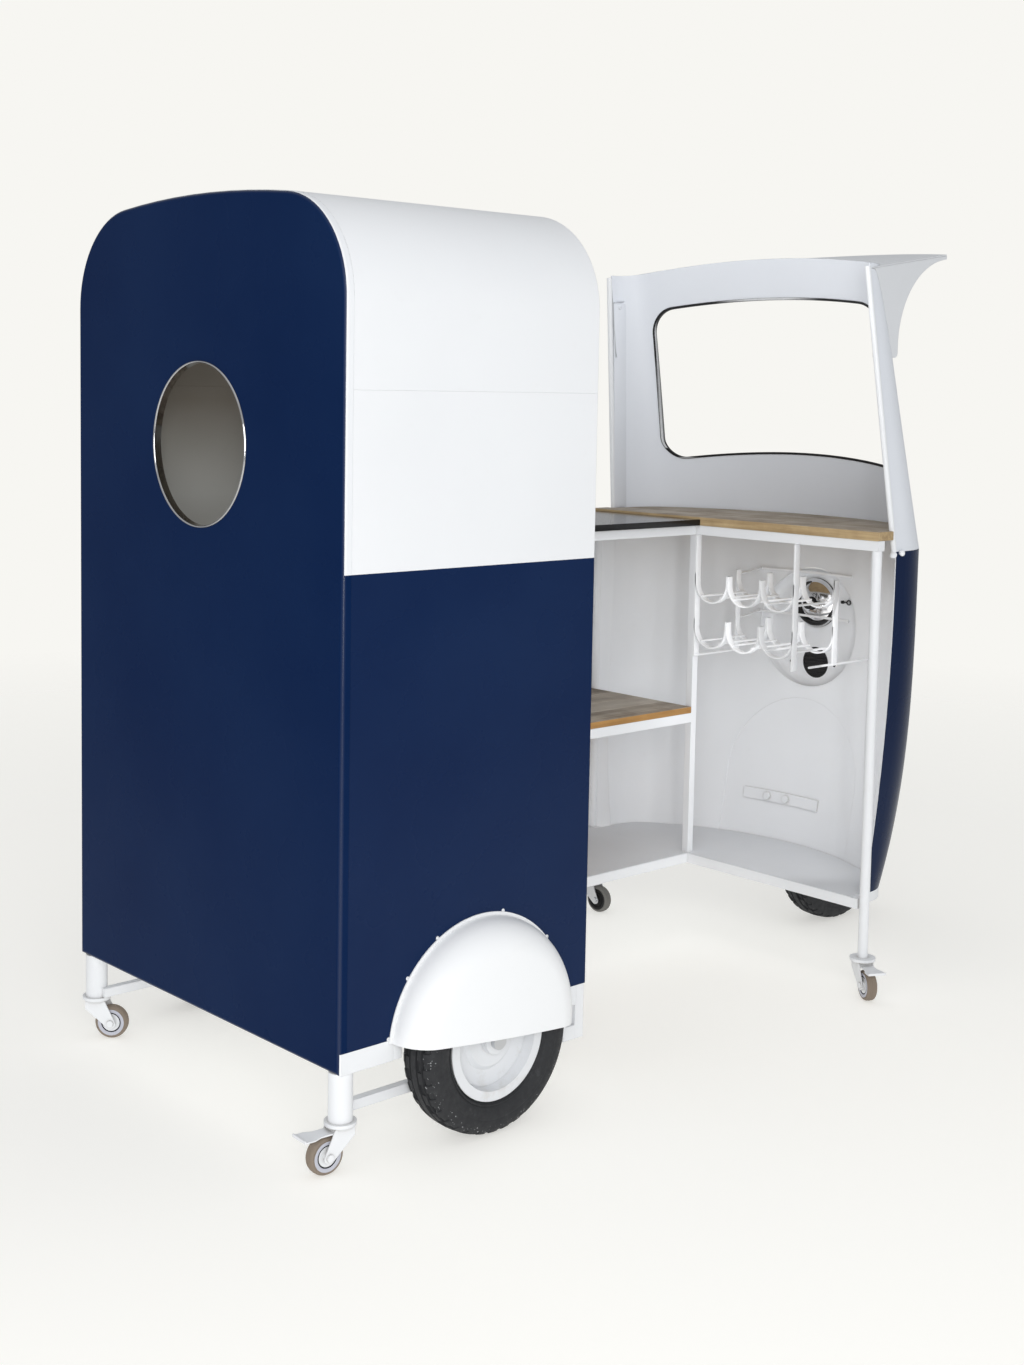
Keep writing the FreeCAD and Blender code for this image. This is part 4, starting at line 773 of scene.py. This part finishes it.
tyreSetup = {
    "segments": 144,
    "half": [(0.1060, -0.0312), (0.1204, -0.0316), (0.1236, -0.0345), (0.1262, -0.0392), (0.1284, -0.0396),
             (0.1292, -0.0380), (0.1340, -0.0418), (0.1430, -0.0447), (0.1520, -0.0457), (0.1532, -0.0451),
             (0.1556, -0.0451), (0.1568, -0.0456), (0.1660, -0.0447), (0.1740, -0.0424), (0.1794, -0.0392),
             (0.1840, -0.0350), (0.1862, -0.0310), (0.1874, -0.0268), (0.1842, -0.0260), (0.1842, -0.0228),
             (0.1884, -0.0220), (0.1892, -0.0120), (0.1854, -0.0112), (0.1854, -0.0080), (0.1897, -0.0072),
             (0.1900, 0.0)],
    # for each cut: ring of radii, faces in a repeat, least distance from the middle, rim, depth
    "cuts": (((0.1810, 0.1862), 4, 0.02, 0.0007, 0.0022),
             ((0.1874, 0.1893), 6, 0.011, 0.0006, 0.0028)),
    "fleckRing": (0.1660, 0.1885),
    "fleckFrom": 0.024,
    "wheels": {"rear_near": "tyreShoulder", "rear_far": "tyreShoulder", "front": "tyre"},
}


def modelTyre(setup):
    tyre = turned("tyre", mirrored(setup["half"]), setup["segments"])
    step = 2 * math.pi / setup["segments"]

    def notched(ring, every, inner):
        low, high = ring

        def test(middle, normal):
            radius = math.hypot(middle.x, middle.y)
            index = round(math.atan2(middle.y, middle.x) / step - 0.5)
            side = 0 if middle.z > 0 else every // 2
            return low < radius < high and abs(middle.z) > inner and (index + side) % every < every // 2
        return test

    for ring, every, inner, rim, depth in setup["cuts"]:
        pickFaces(tyre, notched(ring, every, inner))
        bpy.ops.mesh.inset(thickness=rim, depth=-depth)
    editing(False)
    tyre.data.materials.append(finishes["tyre"])
    tyre.data.materials.append(finishes["tyreShoulder"])
    low, high = setup["fleckRing"]
    for face in tyre.data.polygons:
        radius = math.hypot(face.center.x, face.center.y)
        face.material_index = int(low < radius < high and abs(face.center.z) > setup["fleckFrom"])
    return tyre


def fitTyres(setup):
    pattern = modelTyre(setup)
    for wheel, shoulder in setup["wheels"].items():
        tyre = another(pattern, "roadTyre_" + wheel)
        seatOn(tyre, middleOf("tyre_" + wheel), (0, 1, 0))
        finishPiece(tyre, "wheel_" + wheel, ["tyre", shoulder], angle=32)
        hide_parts("tyre_" + wheel)
    bpy.data.objects.remove(pattern)


# castor wheels: hub with a collar, dark groove, pale core ring and a ribbed tread

castorSetup = {
    "segments": 72,
    "half": [(0.0044, 0.0139), (0.0078, 0.0139), (0.0086, 0.0131), (0.0092, 0.0112), (0.0165, 0.0106),
             (0.0188, 0.0114), (0.0197, 0.0112), (0.0200, 0.0082), (0.0219, 0.0082), (0.0222, 0.0116),
             (0.0232, 0.0124), (0.0286, 0.0130), (0.0296, 0.0126), (0.0299, 0.0117), (0.0306, 0.0117),
             (0.0326, 0.0121), (0.0350, 0.0103), (0.0363, 0.0080), (0.0360, 0.0074), (0.0360, 0.0066),
             (0.0370, 0.0058), (0.0368, 0.0030), (0.0364, 0.0026), (0.0364, 0.0016), (0.0373, 0.0008),
             (0.0374, 0.0)],
    # outer radius of hub, groove and core; the tread lies outside them
    "bands": (0.0198, 0.0221, 0.0297),
    "pale": ("white", "rubber", "core", "tread"),
    "dark": ("rubber", "rubber", "rubber", "greyTread"),
    "looks": {"rear_near": "pale", "rear_far": "pale", "front_near": "pale", "front_far": "dark"},
}


def fitCastorWheels(setup):
    pattern = turned("castorWheel", mirrored(setup["half"]), setup["segments"])
    for key in setup["pale"]:
        pattern.data.materials.append(finishes[key])
    for face in pattern.data.polygons:
        radius = math.hypot(face.center.x, face.center.y)
        face.material_index = sum(radius >= edge for edge in setup["bands"])
    for place, look in setup["looks"].items():
        joint = jointAt["roller_" + place]
        wheel = another(pattern, "castorRoller_" + place)
        seatOn(wheel, joint["pos_m"], joint["axis"])
        finishPiece(wheel, "roller_" + place, setup[look], angle=30)
        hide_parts("castor_wheel_" + place)
    bpy.data.objects.remove(pattern)


# plank boards: V grooves between planks, butt joints, eased edges

boardSetup = {
    "wood_top": {"name": "plankTop", "finish": "topWood", "across": (1, 0, 0), "along": (0, 1, 0),
                 "butts": (0.21, -0.13), "groove": (0.0016, 0.0022), "ease": 0.0015, "margin": 0.02},
    "wood_shelf": {"name": "plankShelf", "finish": "shelfWood", "across": (0, 1, 0), "along": (1, 0, 0),
                   "butts": (0.06,), "groove": (0.0014, 0.0020), "ease": 0.0015, "margin": 0.02},
}


def grooved(piece, direction, place, groove):
    half, depth = groove
    top = max(point.co.z for point in piece.data.vertices)
    way = Vector(direction)
    editing(True)
    bpy.ops.mesh.select_mode(type="VERT")
    for offset in (-half, 0.0, half):
        bpy.ops.mesh.select_all(action="SELECT")
        bpy.ops.mesh.bisect(plane_co=way * (place + offset), plane_no=way)
    pickPoints(piece, lambda at: abs(at.dot(way) - place) < nodeGap and at.z > top - nodeGap)
    bpy.ops.transform.translate(value=(0, 0, -depth))
    editing(False)


def fitBoards(setups):
    for node, setup in setups.items():
        low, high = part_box(node)
        board = copiedNode(node, setup["name"])
        eased(board, setup["ease"], angle=40)
        across = Vector(setup["across"])
        first, last = across.dot(low), across.dot(high)
        line = math.ceil(first / plankWidth[node]) * plankWidth[node]
        while line < last - setup["margin"]:
            if line > first + setup["margin"]:
                grooved(board, setup["across"], line, setup["groove"])
            line += plankWidth[node]
        for butt in setup["butts"]:
            grooved(board, setup["along"], butt, setup["groove"])
        finishPiece(board, "body", [setup["finish"]], angle=30)
        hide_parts(node)


# back of the headlight: a moulded cup ring and a bright terminal

lampSetup = {
    "middle": (0.8897, -0.0060, 0.9020),
    "axis": (-1, 0, 0),
    "leaning": (-1, -0.098, 0.098),
    "sunk": 0.005,
    "segments": 64,
    "cupRing": [(0.0530, 0.0085), (0.0535, 0.0150), (0.0550, 0.0178), (0.0600, 0.0182), (0.0628, 0.0165),
                (0.0645, 0.0125), (0.0645, 0.0105), (0.0630, 0.0085)],
    "terminal": [(0.0012, 0.0420), (0.0050, 0.0420), (0.0062, 0.0408), (0.0064, 0.0340), (0.0084, 0.0330),
                 (0.0088, 0.0250), (0.0078, 0.0180)],
    "terminalSegments": 24,
    "terminalOffset": (0, -0.034, -0.004),
}


def fitLampBack(setup):
    middle = Vector(setup["middle"])
    ring = turned("lampCupRing", setup["cupRing"] + [setup["cupRing"][0]], setup["segments"])
    seatOn(ring, middle + Vector((setup["sunk"], 0, 0)), setup["leaning"])
    finishPiece(ring, "body", ["plastic"], angle=35)
    terminal = turned("lampTerminal", setup["terminal"], setup["terminalSegments"])
    # the open ring at the tip is closed
    tip, end = setup["terminal"][0]
    pickPoints(terminal, lambda at: at.z > end - near and math.hypot(at.x, at.y) < tip + near)
    bpy.ops.mesh.edge_face_add()
    editing(False)
    seatOn(terminal, middle + Vector(setup["terminalOffset"]), setup["axis"])
    finishPiece(terminal, "body", ["chrome"], angle=35)


# porthole trim: a slim rolled bead with a sleeve through the sheet

trimSetup = {
    "segments": 96,
    "slimmer": 0.0028,
    "sleeve": 0.0022,
    "bead": ((0.0, 0.0008), (0.10, 0.0022), (0.32, 0.0032), (0.68, 0.0032), (0.90, 0.0020), (1.0, 0.0004)),
}


def fitTrim(setup):
    low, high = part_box("porthole_trim")
    middle = (low + high) / 2
    points = [point.co for point in cadNodes["porthole_trim"].data.vertices]
    inner = min(math.hypot(at.y - middle.y, at.z - middle.z) for at in points)
    outer = (high.y - low.y) / 2 - setup["slimmer"]
    sleeve = inner + setup["sleeve"]
    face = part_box("rear_panel")[0].x
    deep = face - high.x
    profile = [(inner, deep)]
    profile += [(inner + part * (outer - inner), rise) for part, rise in setup["bead"]]
    profile += [(outer, 0.0), (sleeve, 0.0), (sleeve, deep), profile[0]]
    ring = turned("portholeBead", profile, setup["segments"])
    seatOn(ring, (face, middle.y, middle.z), (-1, 0, 0))
    finishPiece(ring, "body", ["trim"])
    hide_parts("porthole_trim")
    print("porthole trim: slim bead, outer radius", round(outer, 4))


# slotted screws: two at the horn plate and a row round each mudguard

screwSetup = {
    "segments": 20,
    # profile and slot as shares of the head's radius
    "profile": ((0.0002, 0.62), (0.30, 0.60), (0.62, 0.50), (0.86, 0.32), (0.98, 0.12), (1.0, 0.0),
                (0.98, -0.35)),
    "slotWidth": 0.16,
    "slotReach": 0.8,
    "slotDepth": 0.28,
    "spin": 0.7,
    "guardRing": 0.2365,
    "guardAngles": (40, 76, 119, 143, 172),
    # for each set: slot node, finish, head radius, normal, and the places that aren't on a mudguard
    "sets": {
        "hornScrews": ("lamp_nacelle", "plastic", 0.0036, (-1, 0, 0),
                       ((0.8897, 0.0790, 0.7290), (0.8897, -0.0700, 0.7330))),
        "guardScrewsNear": ("mudguard_near", "white", 0.0042, (0, -1, 0), ()),
        "guardScrewsFar": ("mudguard_far", "white", 0.0042, (0, 1, 0), ()),
    },
}


def screwHead(name, radius, setup):
    profile = [(ring * radius, rise * radius) for ring, rise in setup["profile"]]
    head = turned(name, profile, setup["segments"])
    # a straight slot, pressed down across the crown
    width, reach = radius * setup["slotWidth"], radius * setup["slotReach"]
    pickPoints(head, lambda at: abs(at.y) < width and math.hypot(at.x, at.y) < reach)
    bpy.ops.transform.translate(value=(0, 0, -radius * setup["slotDepth"]))
    editing(False)
    return head


def guardScrewPlaces(node, side, setup):
    low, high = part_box(node)
    flange = high.y if side < 0 else low.y
    middle = (low.x + high.x) / 2
    places = []
    for angle in setup["guardAngles"]:
        across, up = math.cos(math.radians(angle)), math.sin(math.radians(angle))
        places.append((middle + setup["guardRing"] * across, flange, low.z + setup["guardRing"] * up))
    return places


def fitScrews(setup):
    for name, (node, finish, radius, normal, places) in setup["sets"].items():
        pattern = screwHead(name, radius, setup)
        heads = []
        for index, place in enumerate(places or guardScrewPlaces(node, normal[1], setup)):
            head = another(pattern, name + str(index))
            seatOn(head, place, normal, setup["spin"] * index)
            heads.append(head)
        bpy.data.objects.remove(pattern)
        piece = joined(heads, name)
        finishPiece(piece, "body", [finish])


# seam filler: a fairing that closes the gap between the side skin and the far edge of the nose

seamSetup = {
    "left": 0.505,
    "right": 0.5714,
    "skin": 0.4775,
    "thin": 0.0006,
    # height, and the place of the nose's inner edge at that height
    "edge": ((0.236, 0.5427, 0.4300), (0.300, 0.5440, 0.4386), (0.400, 0.5460, 0.4492),
             (0.500, 0.5500, 0.4567), (0.600, 0.5550, 0.4615), (0.700, 0.5610, 0.4644),
             (0.800, 0.5660, 0.4657), (0.900, 0.5700, 0.4660), (1.000, 0.5714, 0.4659),
             (1.098, 0.5714, 0.4657)),
}


def fitSeamFiller(setup):
    left, right, skin, thin = (setup[key] for key in ("left", "right", "skin", "thin"))
    foot, top = setup["edge"][0][0], setup["edge"][-1][0]
    filler = freshMesh(bpy.ops.mesh.primitive_cube_add, "seamFiller", size=1)
    editing(True)
    bpy.ops.transform.resize(value=(right - left, thin, top - foot))
    bpy.ops.transform.translate(value=((left + right) / 2, skin - thin / 2, (foot + top) / 2))
    bpy.ops.mesh.select_mode(type="VERT")
    for height, across, inner in setup["edge"][1:-1]:
        bpy.ops.mesh.select_all(action="SELECT")
        bpy.ops.mesh.bisect(plane_co=(0, 0, height), plane_no=(0, 0, 1))
    for height, across, inner in setup["edge"]:
        # the inner right corner goes to the edge of the nose
        pickPoints(filler, lambda at: (abs(at.z - height) < near and at.x > right - near
                                       and at.y < skin - thin / 2))
        bpy.ops.transform.translate(value=(across - right, inner - skin + thin, 0))
    bpy.ops.mesh.select_all(action="SELECT")
    bpy.ops.mesh.normals_make_consistent(inside=False)
    editing(False)
    finishPiece(filler, "body", ["seam"], angle=30)


# pressed bead on the inside of the nose: a path laid on the wall and given a round section

beadSetup = {
    # places on the wall from the far foot over the top to the near side
    "path": ((0.7539, 0.2145, 0.2470), (0.7748, 0.2125, 0.3360), (0.7946, 0.2095, 0.4370),
             (0.8079, 0.1945, 0.5006), (0.8193, 0.1685, 0.5581), (0.8305, 0.1334, 0.5986),
             (0.8415, 0.0797, 0.6326), (0.8471, 0.0223, 0.6485), (0.8476, -0.0299, 0.6523),
             (0.8424, -0.0866, 0.6360), (0.8326, -0.1381, 0.6060), (0.8211, -0.1776, 0.5681),
             (0.8103, -0.2018, 0.5249), (0.8047, -0.2063, 0.4778), (0.7996, -0.1992, 0.4322)),
    "order": 3,
    "smoothing": (0.5, 6),
    "inward": 0.002,
    "proud": 0.0015,
    "radius": 0.0045,
}


def fitBead(setup):
    bpy.ops.object.select_all(action="DESELECT")
    bpy.ops.curve.primitive_nurbs_path_add()
    bead = bpy.context.object
    bead.name = "noseBead"
    bead.data.splines.clear()
    line = bead.data.splines.new("NURBS")
    line.points.add(len(setup["path"]) - 1)
    for point, (x, y, z) in zip(line.points, setup["path"]):
        point.co = (x - setup["inward"], y, z, 1)
    line.order_u = setup["order"]
    line.use_endpoint_u = True
    bpy.ops.object.convert(target="MESH")
    applied(bead, "SHRINKWRAP", target=cadNodes["nose_shell"], wrap_method="NEAREST_SURFACEPOINT",
            wrap_mode="ABOVE_SURFACE", offset=setup["proud"])
    share, times = setup["smoothing"]
    applied(bead, "SMOOTH", factor=share, iterations=times)
    bpy.ops.object.convert(target="CURVE")
    bead.data.bevel_depth = setup["radius"]
    bead.data.bevel_resolution = 2
    bead.data.use_fill_caps = True
    bpy.ops.object.convert(target="MESH")
    bead.data.name = "noseBead"
    seatOn(bead, (0, 0, 0))
    finishPiece(bead, "body", ["white"], angle=50)


# adjusting hook beside the lamp: a threaded shank with an eye, held by a small foot

hookSetup = {
    "eye": (0.8850, -0.1150, 0.9125),
    "root": (0.8850, -0.0910, 0.9118),
    "eyeRadius": 0.0058,
    "wire": 0.0018,
    "eyeSegments": (28, 10),
    # the eye is drawn out by these factors from this share of its radius on
    "drawnFrom": 0.55,
    "drawn": (1.12, 0.9, 1),
    "segments": 14,
    "shank": [(0.0003, 0.0), (0.0042, 0.0), (0.0042, 0.0036), (0.0028, 0.0038), (0.0021, 0.0044),
              (0.0025, 0.0054), (0.0021, 0.0064), (0.0025, 0.0074), (0.0021, 0.0084), (0.0025, 0.0094),
              (0.0020, 0.0104), (0.0018, 0.0180)],
    "foot": [(0.0003, 0.0062), (0.0022, 0.0060), (0.0028, 0.0050), (0.0030, 0.0012), (0.0046, 0.0006),
             (0.0048, -0.0008)],
    "footAside": 0.002,
}


def fitHook(setup):
    eye, root = Vector(setup["eye"]), Vector(setup["root"])
    around, section = setup["eyeSegments"]
    loop = freshMesh(bpy.ops.mesh.primitive_torus_add, "adjustHook", major_radius=setup["eyeRadius"],
                     minor_radius=setup["wire"], major_segments=around, minor_segments=section)
    pickPoints(loop, lambda at: at.x > setup["eyeRadius"] * setup["drawnFrom"])
    bpy.ops.transform.resize(value=setup["drawn"], center_override=(0, 0, 0))
    editing(False)
    standing = Matrix.Translation(eye) @ Matrix.Rotation(math.pi / 2, 4, "Z")
    settle(loop, standing @ Matrix.Rotation(math.pi / 2, 4, "X"))
    shank = turned("hookShank", setup["shank"], setup["segments"])
    seatOn(shank, root, eye - root)
    foot = turned("hookFoot", setup["foot"], setup["segments"])
    wall = lampSetup["middle"][0]
    seatOn(foot, (wall, root.y - setup["footAside"], root.z), (-1, 0, 0))
    hook = joined([loop, shank, foot], "adjustHook")
    finishPiece(hook, "body", ["plastic"])


# bottle rack straps: flat bar bent to a cradle, with the posts that carry the ends

rackSetup = {
    "tiers": ("high_cradle_", "low_cradle_"),
    "letters": "abc",
    "bend": 0.0535,
    "arcSegments": 40,
    "width": 0.019,
    "thick": 0.0042,
    "ease": 0.0007,
    "prong": 0.021,
    "hubLift": 0.031,
    "rowInset": 0.030,
    "foot": 0.776,
    "postTops": (1.101, 0.998),
    "postThick": 0.0046,
}


def bentStrap(setup):
    strap = freshMesh(bpy.ops.mesh.primitive_circle_add, "bentStrap", vertices=setup["arcSegments"],
                      radius=setup["bend"])
    pickPoints(strap, lambda at: at.y > near)
    bpy.ops.mesh.delete(type="VERT")
    pickPoints(strap, lambda at: abs(at.x) > setup["bend"] - nodeGap)
    bpy.ops.mesh.extrude_region_move(TRANSFORM_OT_translate={"value": (0, setup["prong"], 0)})
    bpy.ops.mesh.select_all(action="SELECT")
    bpy.ops.transform.translate(value=(0, 0, -setup["width"] / 2))
    bpy.ops.mesh.extrude_region_move(TRANSFORM_OT_translate={"value": (0, 0, setup["width"])})
    bpy.ops.mesh.select_all(action="SELECT")
    bpy.ops.mesh.normals_make_consistent(inside=False)
    editing(False)
    applied(strap, "SOLIDIFY", thickness=setup["thick"], offset=0.0)
    eased(strap, setup["ease"])
    return strap


def flatBar(name, size, ease, roundTop=0.0):
    # a bar with eased edges; its far end can be rounded off
    bar = freshMesh(bpy.ops.mesh.primitive_cube_add, name, size=1)
    editing(True)
    bpy.ops.transform.resize(value=size)
    editing(False)
    if roundTop:
        pickPoints(bar, lambda at: at.z > 0)
        bpy.ops.mesh.bevel(offset=roundTop, segments=6)
        editing(False)
    eased(bar, ease)
    return bar


def fitRack(setup):
    pattern = bentStrap(setup)
    boxes = {opening["name"]: opening["box_m"] for opening in frame["record"]["physics"]["openings"]}
    straps = []
    for tier in setup["tiers"]:
        for letter in setup["letters"]:
            low, high = boxes[tier + letter]
            middle, hub = (low[1] + high[1]) / 2, low[2] + setup["hubLift"]
            for row in (low[0] + setup["rowInset"], high[0] - setup["rowInset"]):
                strap = another(pattern, "rackStrap" + str(len(straps)))
                seatAxes(strap, (row, middle, hub), (0, 1, 0), (0, 0, 1))
                straps.append(strap)
    bpy.data.objects.remove(pattern)
    low, high = boxes[setup["tiers"][0] + setup["letters"][0]]
    left = (low[1] + high[1]) / 2 + setup["bend"]
    far = boxes[setup["tiers"][0] + setup["letters"][-1]]
    right = (far[0][1] + far[1][1]) / 2 - setup["bend"]
    rows = (low[0] + setup["rowInset"], high[0] - setup["rowInset"])
    for row, top in zip(rows, setup["postTops"]):
        for side in (left, right):
            size = (setup["width"], setup["postThick"], top - setup["foot"])
            post = flatBar("rackPost", size, setup["ease"])
            seatOn(post, (row, side, (top + setup["foot"]) / 2))
            straps.append(post)
    rack = joined(straps, "rackStraps")
    finishPiece(rack, "body", ["strap"])


# flat bar along the far edge of the screen, bolted at its top, and a knob at the near pillar's foot

stileSetup = {
    "foot": (0.5785, 0.4614, 1.150),
    "head": (0.5190, 0.4248, 1.722),
    "normal": (0, -1, -0.06),
    "width": 0.046,
    "thick": 0.0050,
    "ease": 0.0008,
    "roundTop": 0.010,
    "sunk": 0.45,
    "boltRadius": 0.0062,
    "boltDown": 0.016,
    "knobSegments": 24,
    "knob": [(0.0002, 0.0120), (0.0040, 0.0116), (0.0066, 0.0100), (0.0076, 0.0070), (0.0072, 0.0040),
             (0.0048, 0.0026), (0.0046, -0.0010)],
    "knobPlace": (0.5873, -0.4812, 1.0925),
}


def fitStile(setup):
    foot, head, normal = (Vector(setup[key]) for key in ("foot", "head", "normal"))
    way = (head - foot).normalized()
    size = (setup["width"], setup["thick"], (head - foot).length)
    bar = flatBar("screenStile", size, setup["ease"], setup["roundTop"])
    lift = normal.normalized() * (setup["thick"] * setup["sunk"])
    inward = way.cross(normal).cross(way)
    seatAxes(bar, (foot + head) / 2 + lift, (-inward).cross(way), -inward)
    bolt = screwHead("stileBolt", setup["boltRadius"], screwSetup)
    seatOn(bolt, head - way * setup["boltDown"] + lift * 2, normal)
    stile = joined([bar, bolt], "screenStile")
    finishPiece(stile, "body", ["panel"])
    knob = turned("pillarKnob", setup["knob"], setup["knobSegments"])
    seatOn(knob, setup["knobPlace"], (0, -1, 0))
    finishPiece(knob, "body", ["strap"])


# rail ends: short stubs that carry the base rail on behind the rear end of each mudguard

railSetup = {
    "size": (0.0243, 0.0246, 0.0416),
    "ease": 0.001,
    "places": {"railEndNear": (-0.96915, -0.4510, 0.2140), "railEndFar": (-0.96915, 0.4790, 0.2140)},
}


def fitRailEnds(setup):
    for name, place in setup["places"].items():
        stub = flatBar(name, setup["size"], setup["ease"])
        seatOn(stub, place)
        finishPiece(stub, "body", ["frame"])


# mudguards: bolted on a little askew, the rear end higher than the front

guardSetup = {
    "nodes": {"mudguard_near": "guardNear", "mudguard_far": "guardFar"},
    "lean": 5.8,
}


def fitGuards(setup):
    for node, name in setup["nodes"].items():
        low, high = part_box(node)
        guard = copiedNode(node, name)
        editing(True)
        bpy.ops.mesh.select_all(action="SELECT")
        bpy.ops.transform.rotate(value=-math.radians(setup["lean"]), orient_axis="Y",
                                 center_override=((low.x + high.x) / 2, 0, low.z))
        editing(False)
        finishPiece(guard, "body", ["guard"], angle=35)
        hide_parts(node)


placeCamera(cameraSetup)
dressStage(lightSetup, floorSetup)
paintNodes()
print("stage: camera, light and paint")
fitTyres(tyreSetup)
fitCastorWheels(castorSetup)
print("stage: tyres and castor wheels")
fitBoards(boardSetup)
print("stage: boards")
fitLampBack(lampSetup)
fitTrim(trimSetup)
fitScrews(screwSetup)
fitSeamFiller(seamSetup)
fitHook(hookSetup)
fitBead(beadSetup)
print("stage: lamp, trim, screws, seam, hook and bead")
fitRack(rackSetup)
fitStile(stileSetup)
fitGuards(guardSetup)
fitRailEnds(railSetup)
print("stage: rack straps, stile, mudguards and rail ends")
